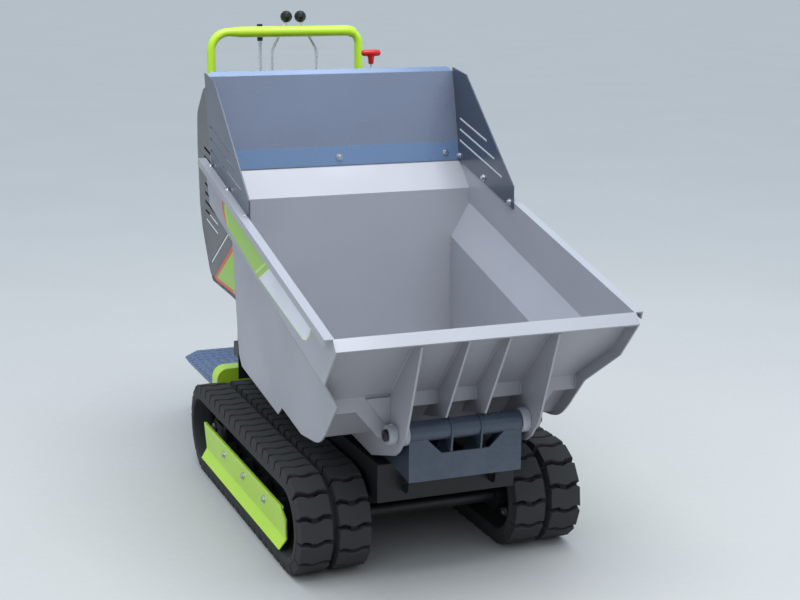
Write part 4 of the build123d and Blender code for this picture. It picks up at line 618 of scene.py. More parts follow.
NODE_FINISHES: dict[Finish, str] = {
    SKIP_GREY: "side_sheet_left side_sheet_right front_sheet floor_sheet rear_sheet ledge lip_ribs"
    " ear_gussets pivot_rib_left pivot_rib_right cylinder_lugs",
    GUARD_PAINTED_LIGHT_COAT: "splash_guard",
    WING_COAT: "guard_wing_left guard_wing_right",
    ANTHRACITE: "pivot_bracket",
    PANEL_GREY: "console_panel_left console_panel_right",
    BLACK_AND_SHADE_COAT: "console_cowl chassis_rails chassis_ends belly_plate deck_plate cross_beams track_frame_left"
    " track_frame_right drive_motors axle_tube track_rollers idlers sprockets platform_hinge cylinder_mount"
    " handle_clamps hydraulic_tank cylinder_barrel",
    LIME_GREEN: "track_guard_left track_guard_right rear_bumper handle_bar handle_grip",
    TRACK_RUBBER: "track_left track_right",
    SOFT_RUBBER: "rest_pads",
    ENGINE_CAST: "engine_block",
    TURNED_STEEL: "pivot_pin",
    CHROME: "cylinder_rod",
    LEVER_STEEL: "lever_rods",
    BLACK_PLASTIC: "lever_knobs",
    RED_PLASTIC: "choke_knob",
    TREAD_COAT: "platform",
}


# ---------------------------------------------------------------- places and meshes
@dataclass(frozen=True)
class Datum:
    """Where the drive sprocket's axle is: stations run back from it and levels up from it, both in mm."""

    axle_y: float
    axle_z: float

    def at(self, x: float, station: float, level: float) -> Vector:
        """Turn a place on the machine, in mm from its middle and the axle, into the model's metres."""
        return Vector((x * MM, self.axle_y + station * MM, self.axle_z + level * MM))

    @staticmethod
    def read() -> "Datum":
        """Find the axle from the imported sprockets."""
        low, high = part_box("sprockets")
        return Datum((low.y + high.y) / 2, (low.z + high.z) / 2)


def circle(
    middle: Vector, across: Vector, other: Vector, radius: float, sides: int, turn: float = 0.0,
) -> list[Vector]:
    """Give the points of a circle, or of an ellipse where its two directions differ in length.

    Args:
        middle: Its middle.
        across: Direction of its first point.
        other: Direction a quarter turn on.
        radius: Its radius, mm.
        sides: How many points.
        turn: Angle of the first point, in degrees.

    Returns:
        The points.
    """
    angles = [math.radians(turn) + math.tau * step / sides for step in range(sides)]
    return [middle + (across * math.cos(a) + other * math.sin(a)) * radius * MM for a in angles]


def link(name: str, data: bpy.types.ID) -> bpy.types.Object:
    """Make an object and put it in the scene.

    Args:
        name: Its name.
        data: Mesh, lamp or camera that it shows.

    Returns:
        The new object.
    """
    made = bpy.data.objects.new(name, data)
    bpy.context.scene.collection.objects.link(made)
    return made


class MeshWork:
    """Collects the parts of one piece in a bmesh and turns them into an object."""

    washer_height = 0.11  # share of a bolt's width across the flats
    head_height = 0.42
    ripple = 0.12, -0.08  # how much every other ring of a weld swells
    ripple_spread = 0.05
    ring_spacing = 1.2  # share of a weld's throat

    def __init__(self) -> None:
        """Start with an empty mesh."""
        self.mesh = bmesh.new()

    def loop_shell(self, rings: Sequence[Sequence[Vector]], closed: bool = False) -> None:
        """Skin a row of rings that have the same number of points.

        Args:
            rings: Points of each ring in order.
            closed: Whether the last ring joins the first; otherwise both ends are filled.
        """
        made = [[self.mesh.verts.new(point) for point in ring] for ring in rings]
        pairs = list(zip(made, made[1:])) + ([(made[-1], made[0])] if closed else [])
        for one, two in pairs:
            for index in range(len(one)):
                after = (index + 1) % len(one)
                self.mesh.faces.new((one[index], one[after], two[after], two[index]))
        if not closed:
            self.mesh.faces.new(tuple(reversed(made[0])))
            self.mesh.faces.new(tuple(made[-1]))

    def lathe(
        self, origin: Vector, axis: Vector, profile: Sequence[Point2], sides: int, turn: float = 0.0,
    ) -> None:
        """Turn a profile round an axis.

        Args:
            origin: Foot of the axis.
            axis: Direction of the axis.
            profile: Distance along the axis and radius of each ring, in mm.
            sides: Points round the axis.
            turn: Angle of the first point, in degrees.
        """
        along = axis.normalized()
        across = (UP.cross(along) if abs(along.z) < 0.9 else along.orthogonal()).normalized()
        other = along.cross(across)
        self.loop_shell([circle(origin + along * d * MM, across, other, r, sides, turn) for d, r in profile])

    def slab(self, corners: Sequence[Vector], depth: Vector) -> None:
        """Extrude a flat outline by a depth, which is a vector."""
        self.loop_shell([list(corners), [corner + depth for corner in corners]])

    def block(self, low: Vector, high: Vector, edge: float) -> None:
        """Make a box with bevelled edges.

        Args:
            low: Lowest corner.
            high: Highest corner.
            edge: Width of the bevel, mm.
        """
        before = set(self.mesh.verts)
        outline = ((low.x, low.y), (high.x, low.y), (high.x, high.y), (low.x, high.y))
        self.slab([Vector((x, y, low.z)) for x, y in outline], UP * (high.z - low.z))
        fresh = [vert for vert in self.mesh.verts if vert not in before]
        edges = list({line for vert in fresh for line in vert.link_edges})
        bmesh.ops.bevel(self.mesh, geom=edges, offset=edge * MM, segments=2, affect="EDGES", profile=0.5)

    def tube(self, path: Sequence[Vector], radius: float, sides: int) -> None:
        """Sweep a round section along a path.

        Args:
            path: Points of the path.
            radius: Radius of the section, mm.
            sides: Points round the section.
        """
        rings = []
        across = None
        for before, point, after in zip([path[0], *path], path, [*path[1:], path[-1]]):
            along = (after - before).normalized()
            across = along.orthogonal() if across is None else across - along * across.dot(along)
            across.normalize()
            rings.append(circle(point, across, along.cross(across), radius, sides))
        self.loop_shell(rings)

    def bolt(self, seat: Vector, outward: Vector, flats: float, washer: float = 0.0) -> None:
        """Add a hexagon head on its washer, its corners turned off.

        Args:
            seat: Middle of the face it sits on.
            outward: Way the head points.
            flats: Width across the flats, mm.
            washer: Outer radius of the washer, mm, or 0 for none.
        """
        lift = 0.0
        if washer > 0.0:
            lift = flats * self.washer_height
            self.lathe(seat, outward, ((0.0, washer * 0.96), (lift * 0.3, washer), (lift, washer * 0.97)), 24)
        corner = flats / math.sqrt(3)
        top = seat + outward.normalized() * lift * MM
        height = flats * self.head_height
        self.lathe(top, outward, ((0.0, corner), (height * 0.82, corner), (height, corner * 0.86)), 6, 15.0)
        crown = ((height, corner * 0.74), (height * 1.12, corner * 0.7), (height * 1.16, corner * 0.3))
        self.lathe(top, outward, crown, 18)

    def weld(self, start: Vector, end: Vector, throat: float, rng: random.Random) -> None:
        """Lay a rippled weld bead along a seam.

        Args:
            start: First end of the seam.
            end: Other end.
            throat: Radius of the bead, mm.
            rng: Source of the ripple's small changes.
        """
        run = end - start
        count = max(4, int(run.length / (throat * self.ring_spacing * MM)))
        along = run.normalized()
        across = along.orthogonal().normalized()
        rings = []
        for step in range(count + 1):
            swell = 1.0 + self.ripple[0 if step % 2 else 1]
            swell += rng.uniform(-self.ripple_spread, self.ripple_spread)
            if step in (0, count):
                swell *= 0.4
            rings.append(circle(start + run * (step / count), across, along.cross(across), throat * swell, 7))
        self.loop_shell(rings)

    def piece(
        self, name: str, finish: Finish, body: str = "chassis", slot: str = "", smooth: float = 35.0,
        replaces: Sequence[str] = (),
    ) -> None:
        """Turn what was collected into an object on one of the machine's bodies.

        Args:
            name: Name of the piece.
            finish: Its finish.
            body: Body it moves with.
            slot: Material slot, where it isn't the finish's own; not used.
            smooth: Angle in degrees below which neighbouring faces are shaded as one.
            replaces: CAD nodes that it stands for.
        """
        bmesh.ops.recalc_face_normals(self.mesh, faces=self.mesh.faces)
        for face in self.mesh.faces:
            face.smooth = True
        for edge in self.mesh.edges:
            if len(edge.link_faces) == 2 and edge.calc_face_angle(0.0) > math.radians(smooth):
                edge.smooth = False
        data = bpy.data.meshes.new(name)
        self.mesh.to_mesh(data)
        self.mesh.free()
        data.materials.append(finish.material())
        made = link(name, data)
        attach(made, body)
        slot or finish.slot
        if replaces:
            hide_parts(*replaces)
        LOG.info("%s: %d faces", name, len(data.polygons))


def rounded(line: Sequence[Point2], reach: float, steps: int) -> list[Point2]:
    """Round the inner corners of an open line, as a press brake leaves them.

    Args:
        line: Points of the line.
        reach: How far from its corner each bend starts.
        steps: Points along each bend.

    Returns:
        The points of the rounded line.
    """
    result = [Vector(line[0])]
    for before, corner, after in zip(line, line[1:], line[2:]):
        knee = Vector(corner)
        first = knee + (Vector(before) - knee).normalized() * reach
        last = knee + (Vector(after) - knee).normalized() * reach
        for step in range(steps + 1):
            share = step / steps
            result.append(first * (1 - share) ** 2 + knee * 2 * share * (1 - share) + last * share**2)
    return [tuple(point) for point in (*result, line[-1])]


def thickened(line: Sequence[Point2], thickness: float) -> list[Point2]:
    """Give an open line the thickness of a sheet on its right-hand side.

    Args:
        line: Points of the line.
        thickness: Sheet's thickness.

    Returns:
        The closed outline of the sheet.
    """
    points = [Vector(point) for point in line]
    back = []
    for before, point, after in zip([points[0], *points], points, [*points[1:], points[-1]]):
        run = (after - before).normalized()
        back.append(point + Vector((run.y, -run.x)) * thickness)
    return [tuple(point) for point in points + back[::-1]]


def dress_nodes(frame: dict) -> None:
    """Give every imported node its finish.
    """
    left = set(frame["nodes"])
    for finish, names in NODE_FINISHES.items():
        for name in names.split():
            data = frame["nodes"][name].data
            data.materials.clear()
            data.materials.append(finish.material())
            left.discard(name)
    if left:
        raise ValueError(f"nodes without a finish: {sorted(left)}")


# ---------------------------------------------------------------- sub-assemblies
GUARD_BOLTS = ((223.0, -16.0), (428.0, -16.0), (633.0, -16.0))


@dataclass
class Assembly:
    """What every sub-assembly has: the datum that its places are measured from."""

    datum: Datum

    def build(self) -> None:
        """Build the sub-assembly's pieces."""
        raise NotImplementedError

    def both(self, x: float, station: float, level: float) -> list[tuple[Vector, Vector]]:
        """Give the same place on both sides, each with the way outwards."""
        return [(self.datum.at(side * x, station, level), side * ACROSS) for side in SIDES]


@dataclass
class Tracks(Assembly):
    """Moulded rubber belts: two rows of wavy lugs, a groove between them and low bridges in the gaps."""

    wheelbase: float = 856.0
    belt_outer: float = 112.0
    pitches: int = 44
    steps_a_pitch: int = 4
    centre: float = 297.5
    row: Point2 = (6.0, 98.0)
    end_slope: float = 4.0
    bridge_ends: tuple[float, ...] = (-9.0, -7.0, 7.0, 9.0)
    # share of a row's width, and how far both edges of a lug swing there
    wave: Profile = (
        (0.0, 0.0), (0.1, 2.6), (0.27, 3.4), (0.38, -0.8), (0.5, -3.4), (0.63, -2.8), (0.72, 1.4),
        (0.85, 3.4), (1.0, 0.4),
    )
    # half length and height of a lug's section, and of a bridge's
    lug_section: Profile = ((25.6, -2.0), (23.4, 11.0), (22.0, 22.6), (20.2, 25.0))
    bridge_section: Profile = ((12.0, -2.0), (10.0, 9.0), (8.0, 10.5))
    belt_section: Profile = (
        (-100.0, 95.0), (-97.0, 92.0), (-48.0, 92.0), (48.0, 92.0), (97.0, 92.0), (100.0, 95.0),
        (100.0, 109.0), (97.0, 112.0), (6.0, 112.0), (4.5, 109.0), (-4.5, 109.0), (-6.0, 112.0),
        (-97.0, 112.0), (-100.0, 109.0),
    )

    def build(self) -> None:
        """Build both tracks in place of their plain solids."""
        count = self.pitches * self.steps_a_pitch
        for side, name in SIDES.items():
            work = MeshWork()
            runs = [number * self.pitch / self.steps_a_pitch for number in range(count)]
            belt = [[self.place(side, x, run, radius) for x, radius in self.belt_section] for run in runs]
            work.loop_shell(belt, closed=True)
            for row in range(2):
                for number in range(self.pitches):
                    self.lug(work, side, row, (number + row / 2) * self.pitch)
            work.piece(f"tread_belt_{name}", TRACK_RUBBER, smooth=24.0, replaces=(f"track_{name}",))

    @property
    def pitch(self) -> float:
        """Distance from one lug to the next."""
        return (2 * self.wheelbase + math.tau * self.belt_outer) / self.pitches

    def place(self, side: float, across: float, distance: float, radius: float) -> Vector:
        """Find a point of the running belt.

        Args:
            side: -1 for the left track, 1 for the right one.
            across: Across the track from its middle, outwards.
            distance: Along the belt, from the top of the sprocket.
            radius: From the wheels' axles.

        Returns:
            The point.
        """
        half_lap = self.wheelbase + math.pi * self.belt_outer
        lap, station = divmod(distance % (2 * half_lap), half_lap)
        level = radius
        if station >= self.wheelbase:
            angle = math.pi / 2 - (station - self.wheelbase) / self.belt_outer
            station, level = self.wheelbase + radius * math.cos(angle), radius * math.sin(angle)
        if lap:
            station, level = self.wheelbase - station, -level
        return self.datum.at(side * (self.centre + across), station, level)

    def lug(self, work: MeshWork, side: float, row: int, distance: float) -> None:
        """Stand one lug on the belt, and the bridge behind it.

        Args:
            work: Mesh to add to.
            side: -1 for the left track, 1 for the right one.
            row: 0 for the outer row, 1 for the inner one.
            distance: Where the lug is along the belt.
        """
        near, far = self.row if row == 0 else (-self.row[1], -self.row[0])
        height = self.lug_section[-1][1]
        lean = {0.0: self.end_slope / height, 1.0: -self.end_slope / height}
        slices = []
        for share, swing in self.wave:
            slices.append((near + share * (far - near), lean.get(share, 0.0), distance + swing))
        self.bar(work, side, slices, self.lug_section)
        middle, bridge = (near + far) / 2, distance + self.pitch / 2
        slices = [(middle + offset, 0.0, bridge) for offset in self.bridge_ends]
        self.bar(work, side, slices, self.bridge_section)

    def bar(self, work: MeshWork, side: float, slices: Sequence[tuple], section: Profile) -> None:
        """Lay a bar of rubber across the belt.

        Args:
            work: Mesh to add to.
            side: -1 for the left track, 1 for the right one.
            slices: Place across of each slice, how much it leans for its height, and place along the belt.
            section: Half length and height of the bar's section.
        """
        ring = [*section, *((-half, rise) for half, rise in reversed(section))]
        work.loop_shell([
            [self.place(side, x + lean * rise, run + half, self.belt_outer + rise) for half, rise in ring]
            for x, lean, run in slices
        ])


@dataclass
class TrackGuards(Assembly):
    """Folded green guards over the rollers, on spacers painted black: painted shade behind the guard sheets."""

    profile: Profile = ((374.0, 17.0), (382.5, 17.0), (382.5, -5.0), (382.5, -58.0), (402.5, -84.0))
    sheet: float = 4.0
    bend: float = 3.0
    front: float = 25.0
    rear: float = 868.0
    slant: float = 38.0
    nose: Point2 = (46.0, 22.0)  # length and height cut off the top front corner
    shares: tuple[float, ...] = (0.0, 0.25, 0.5, 0.75, 1.0)
    spacer_foot: float = 327.8
    spacer: Profile = ((0.0, 8.0), (50.7, 8.0))

    def build(self) -> None:
        """Build the guards in place of their plain solids."""
        outline = thickened(rounded(self.profile, self.bend, 4), self.sheet)
        top, bottom = self.profile[0][1], self.profile[-1][1]
        spacers = MeshWork()
        for side, name in SIDES.items():
            work = MeshWork()
            rings = []
            for share in self.shares:
                rings.append([])
                for across, level in outline:
                    front = self.front + self.nose[0] * max(0.0, (level - top + self.nose[1]) / self.nose[1])
                    rear = self.rear - self.slant * (top - level) / (top - bottom)
                    level = min(top, max(bottom, level))
                    rings[-1].append(self.datum.at(side * across, front + (rear - front) * share, level))
            work.loop_shell(rings)
            work.piece(f"guard_sheet_{name}", LIME_GREEN, smooth=20.0, replaces=(f"track_guard_{name}",))
            for place in GUARD_BOLTS:
                spacers.lathe(self.datum.at(side * self.spacer_foot, *place), side * ACROSS, self.spacer, 20)
        # The spacers are painted black because only shade shows there behind the guards: painted shade.
        spacers.piece("guard_spacers_painted_shade", BLACK_AND_SHADE_COAT)


@dataclass
class Hinge(Assembly):
    """Tipping hinge: webs round its tube, and the pin with its collars and washers."""

    pin: Point2 = (-239.0, 283.0)
    web_offset: float = 40.0
    web_sheet: float = 5.0
    web_radius: float = 29.0
    web_angles: Sequence[int] = range(70, 186, 10)
    web_foot: Profile = ((-260.0, 229.0), (-246.0, 229.0), (-239.0, 262.0))
    pin_half: float = 212.3
    pin_end: Profile = ((3.0, 4.5), (0.0, 5.5), (0.0, 13.0), (2.0, 15.0))
    # start, end and radius of the collars and the washers
    rings: tuple[tuple[float, float, float], ...] = ((181.3, 203.3, 25.0), (152.3, 174.7, 31.0))
    ring_edge: float = 1.5

    def build(self) -> None:
        """Build the webs and the pin."""
        webs = MeshWork()
        (station, level), radius = self.pin, self.web_radius
        angles = [math.radians(angle) for angle in self.web_angles]
        arc = [(station + radius * math.cos(a), level + radius * math.sin(a)) for a in angles]
        for side in SIDES:
            x = side * self.web_offset - self.web_sheet / 2
            outline = [self.datum.at(x, *point) for point in (*arc, *self.web_foot)]
            webs.slab(outline, ACROSS * self.web_sheet * MM)
        webs.piece("hinge_webs", ANTHRACITE)
        shaft = MeshWork()
        far_end = [(2 * self.pin_half - along, radius) for along, radius in reversed(self.pin_end)]
        shaft.lathe(self.datum.at(-self.pin_half, *self.pin), ACROSS, (*self.pin_end, *far_end), 36)
        # The pin is painted black so that its ends read as the dark holes in the collars: painted shade.
        shaft.piece("pivot_shaft", BLACK_AND_SHADE_COAT, replaces=("pivot_pin",))
        collars = MeshWork()
        for start, stop, outer in self.rings:
            length, edge, inner = stop - start, self.ring_edge, outer - self.ring_edge
            for seat, out in self.both(start, *self.pin):
                profile = ((0.0, inner), (edge, outer), (length - edge, outer), (length, inner))
                collars.lathe(seat, out, profile, 40)
        collars.piece("pin_collars", SKIP_GREY)


@dataclass
class Undercarriage(Assembly):
    """Fasteners of the track guards, the drive motors and the idlers."""

    guard_bolt: Point2 = (13.0, 12.0)
    guard_fold: float = 20.0  # guard's upright face, in from its lower edge
    motor_bolt: Point2 = (17.0, 14.0)
    motor_bolt_reach: float = 53.2
    motor_flange: float = 12.0
    motor_middle: float = 26.0
    port_offset: float = 14.0
    port_level: float = 36.0
    port: Profile = ((-6.0, 11.0), (8.0, 11.0), (9.0, 9.0), (20.0, 9.0), (22.0, 7.5))
    cap_face: float = 351.5
    cap: Profile = ((-6.0, 15.0), (3.0, 15.0), (5.0, 13.0), (5.2, 6.0))
    cap_top: float = 356.6
    cap_bolt: float = 10.0

    def build(self) -> None:
        """Build the fasteners of the undercarriage."""
        work, bolts, ports, caps = MeshWork(), MeshWork(), MeshWork(), MeshWork()
        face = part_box("track_guard_right")[1].x / MM - self.guard_fold
        for place in GUARD_BOLTS:
            for seat, out in self.both(face, *place):
                work.bolt(seat, out, *self.guard_bolt)
        work.piece("guard_bolts", PLATED_STEEL)
        flange = abs(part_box("drive_motors")[0].x) / MM - self.motor_flange
        for sign in SIDES:
            for seat, out in self.both(flange, 0.0, sign * self.motor_bolt_reach):
                bolts.bolt(seat, -out, *self.motor_bolt)
            for seat, _out in self.both(flange - self.motor_middle, sign * self.port_offset, self.port_level):
                ports.lathe(seat, UP, self.port, 20)
        bolts.piece("motor_bolts", PLATED_STEEL)
        ports.piece("motor_ports", TURNED_STEEL)
        low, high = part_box("idlers")
        station = ((low.y + high.y) / 2 - self.datum.axle_y) / MM
        for seat, out in self.both(self.cap_face, station, 0.0):
            caps.lathe(seat, out, self.cap, 28)
            caps.bolt(seat + out * (self.cap_top - self.cap_face) * MM, out, self.cap_bolt)
        caps.piece("idler_caps", TURNED_STEEL)


@dataclass(frozen=True)
class Film:
    """Flat field of colour on both sides of the machine, and how far it stands off its sheet in mm."""

    name: str
    finish: Finish
    lift: float
    outline: Profile

    def lay(self, place: Callable[[float, float, float], Vector], body: str, slot: str = "") -> None:
        """Lay the film.

        Args:
            place: Turns a side and a corner of the outline into a point.
            body: Body that it moves with.
            slot: Material slot, where it isn't the finish's own.
        """
        work = MeshWork()
        for side in SIDES:
            work.slab([place(side, *corner) for corner in self.outline], ACROSS * side * self.lift * MM)
        work.piece(self.name, self.finish, body, slot)


@dataclass
class Skip(Assembly):
    """Weld seams, bolts, rounded lobes and plain coloured bands of the tipping skip."""

    rng: random.Random
    rib_offsets: tuple[float, ...] = (-178.0, -53.0, 53.0, 178.0)
    wall_top: Point2 = (-384.0, 565.0)
    wall_foot: Point2 = (-75.0, 241.2)
    rib_run: Point2 = (-378.0, -209.0)
    ledge: Point2 = (-204.5, 338.0)
    bead_offset: float = 4.0
    bead: float = 2.4
    bead_inset: float = 1.0
    rib_foot: float = -203.0
    # x of each seam, and the stations and levels of its ends
    ear_seam: tuple[float, Profile] = (181.5, ((-204.0, 305.0), (-204.0, 370.0)))
    floor_seam: tuple[float, Profile] = (328.5, ((-75.0, 248.0), (608.0, 276.0)))
    rear_seam: tuple[float, float, float] = (328.0, 611.0, 277.0)
    # seams in the corners between the ledge and the front wall
    corner_x: float = 329.0
    corner_foot: float = -205.0
    corner_bead: float = 2.6
    corner_inset: float = 2.0
    face: float = 392.0
    rim_front: Point2 = (-388.0, 575.0)
    rim_slope: float = 0.24403
    wing_bolts: Profile = ((678.0, 832.0), (501.0, 788.0), (323.0, 742.0))
    wing_bolt: Point2 = (13.0, 11.0)
    wing_gap: float = 8.0
    guard_bolts: tuple[float, ...] = (-340.0, 0.0, 340.0)
    guard_bolt: Point2 = (12.0, 10.0)
    guard_seat: Point2 = (684.2, 843.0)
    guard_lean: float = 0.2946
    collar_seat: tuple[float, float, float] = (192.3, -239.0, 307.0)
    collar_bolt: float = 10.0
    lobe: Profile = ((-182.0, 300.3), (-129.0, 244.0), (-100.0, 229.5), (-56.0, 232.6))
    lobe_faces: Point2 = (334.12, 329.88)
    lobe_steps: int = 18
    # corners of each film are stations and distances below the rim
    films: tuple[Film, ...] = (
        Film("orange_tail", ORANGE_FILM, 0.25, (
            (552.0, 22.0), (562.0, 46.0), (558.0, 74.0), (524.0, 106.0), (505.0, 106.0), (515.0, 22.0))),
        Film("green_band", GREEN_FILM, 0.45, (
            (528.0, 22.0), (538.0, 44.0), (534.0, 72.0), (510.0, 106.0), (204.0, 118.0), (66.0, 22.0))),
        Film("pale_curve", PALE_GREEN_FILM, 0.6, (
            (514.0, 22.0), (523.0, 44.0), (519.0, 70.0), (497.0, 104.0), (492.0, 104.0), (513.0, 70.0),
            (517.0, 44.0), (508.0, 22.0))),
        Film("pale_bar", PALE_GREEN_FILM, 0.6, ((100.0, 22.0), (238.0, 116.6), (229.0, 117.0), (91.0, 22.0))),
        Film("pale_edge", PALE_EDGE_FILM, 0.25, (
            (66.0, 22.0), (-214.0, 22.0), (-228.0, 34.0), (-229.0, 52.0), (-216.0, 74.0), (-192.0, 96.0),
            (-168.0, 106.0), (204.0, 118.0))),
        Film("white_band", WHITE_FILM, 0.45, (
            (60.0, 22.0), (-208.0, 22.0), (-222.0, 36.0), (-223.0, 51.0), (-211.0, 71.0), (-189.0, 91.0),
            (-165.0, 101.0), (194.0, 113.0))),
    )

    def build(self) -> None:
        """Build what is fixed to the skip."""
        self.lobes()
        self.welds()
        self.fasteners()
        for flat in self.films:
            flat.lay(self.band_point, "skip")

    def lobes(self) -> None:
        """Round off the low front lobes of the side sheets along a cubic curve."""
        toe, first, second, heel = (Vector(point) for point in self.lobe)
        line = []
        for step in range(self.lobe_steps + 1):
            share = step / self.lobe_steps
            rest = 1 - share
            point = toe * rest**3 + first * 3 * rest**2 * share
            line.append(point + second * 3 * rest * share**2 + heel * share**3)
        work = MeshWork()
        outer, inner = self.lobe_faces
        for side in SIDES:
            outline = [self.datum.at(side * outer, *point) for point in line]
            work.slab(outline, ACROSS * side * (inner - outer) * MM)
        work.piece("side_lobes", SKIP_GREY, "skip", smooth=20.0)

    def wall_under(self, station: float) -> float:
        """Give the level of the front wall's under face at a station."""
        share = (station - self.wall_top[0]) / (self.wall_foot[0] - self.wall_top[0])
        return self.wall_top[1] + share * (self.wall_foot[1] - self.wall_top[1])

    def welds(self) -> None:
        """Lay the beads where the ribs and the ledge meet the sheets."""
        station, level = self.ledge
        work = MeshWork()

        def seam(x: float, places: Sequence[Point2], throat: float) -> None:
            """Weld between two places that are as far across."""
            start, end = (self.datum.at(x, *place) for place in places)
            work.weld(start, end, throat, self.rng)

        for offset in self.rib_offsets:
            for side in SIDES:
                x = offset + side * self.bead_offset
                seam(x, [(run, self.wall_under(run) - self.bead_inset) for run in self.rib_run], self.bead)
                top = self.wall_under(self.rib_foot) - self.bead_inset
                seam(x, ((station, level + self.bead_inset), (station, top)), self.bead)
        top = self.wall_under(self.corner_foot) - self.corner_inset
        corner = ((station, level + self.corner_inset), (station, top))
        for side in SIDES:
            seam(side * self.corner_x, corner, self.corner_bead)
            seam(side * self.ear_seam[0], self.ear_seam[1], self.bead)
        for side in SIDES:
            seam(side * self.floor_seam[0], self.floor_seam[1], self.bead)
        (left, _out), (right, _out) = self.both(*self.rear_seam)
        work.weld(left, right, self.bead, self.rng)
        work.piece("skip_welds", SKIP_GREY, "skip", smooth=60.0)

    def fasteners(self) -> None:
        """Bolt the wings to the side sheets, the splash guard to its flange, and the pin's collars."""
        work, collars = MeshWork(), MeshWork()
        for place in self.wing_bolts:
            for seat, out in self.both(self.face, *place):
                work.bolt(seat - out * self.wing_gap * MM, -out, *self.wing_bolt)
                work.bolt(seat, out, *self.wing_bolt)
        for x in self.guard_bolts:
            work.bolt(self.datum.at(x, *self.guard_seat), UP * self.guard_lean - BACK, *self.guard_bolt)
        work.piece("skip_bolts", PLATED_STEEL, "skip")
        for seat, _out in self.both(*self.collar_seat):
            collars.bolt(seat, UP, self.collar_bolt)
        collars.piece("collar_bolts", PLATED_STEEL)

    def band_point(self, side: float, station: float, below: float) -> Vector:
        """Give a point on a side sheet's upright band, at a station and a distance below the rim."""
        level = self.rim_front[1] + (station - self.rim_front[0]) * self.rim_slope - below
        return self.datum.at(side * self.face, station, level)


@dataclass
class SplashGuard(Assembly):
    """Folded sheet behind the skip: a lower band, the tall face and a rim turned back at the top."""

    half_width: float = 383.6
    thickness: float = 2.5
    foot: Profile = ((677.6, 820.0), (694.0, 875.0))
    face: Profile = ((694.0, 875.0), (738.4, 1083.5))
    flange: Profile = ((738.4, 1083.5), (746.0, 1096.6))
    slices: tuple[float, ...] = (-1.0, -0.5, 0.5, 1.0)  # shares of the half width
    corner: float = 14.0  # cut off the flange's ends

    def build(self) -> None:
        """Build the guard in place of its plain solid."""
        face, bends = MeshWork(), MeshWork()
        self.sheet(face, self.face)
        # The face gets the lighter copy of the anthracite paint: painted light.
        face.piece("splash_guard_face", GUARD_PAINTED_LIGHT_COAT, "skip", smooth=20.0, replaces=("splash_guard",))
        self.sheet(bends, self.foot)
        self.sheet(bends, self.flange)
        # The foot and the flange get the blue copy of the paint: a painted sky reflection.
        bends.piece("splash_guard_bends", BEND_SKY_REFLECTION_COAT, "skip", smooth=20.0)

    def sheet(self, work: MeshWork, line: Profile) -> None:
        """Stretch one flat of the sheet across the skip.

        Args:
            work: Mesh to add to.
            line: Stations and levels of its lower and upper edge.
        """
        low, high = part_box("splash_guard")
        start, stop = self.flange[0][1], self.flange[1][1]
        rings = []
        for share in self.slices:
            rings.append([])
            for station, level in thickened(line, self.thickness):
                inset = self.corner * max(0.0, (level - start) / (stop - start)) if share in SIDES else 0.0
                point = self.datum.at(share * self.half_width - math.copysign(inset, share), station, level)
                point.y = min(max(point.y, low.y), high.y)
                point.z = min(max(point.z, low.z), high.z)
                rings[-1].append(point)
        work.loop_shell(rings)


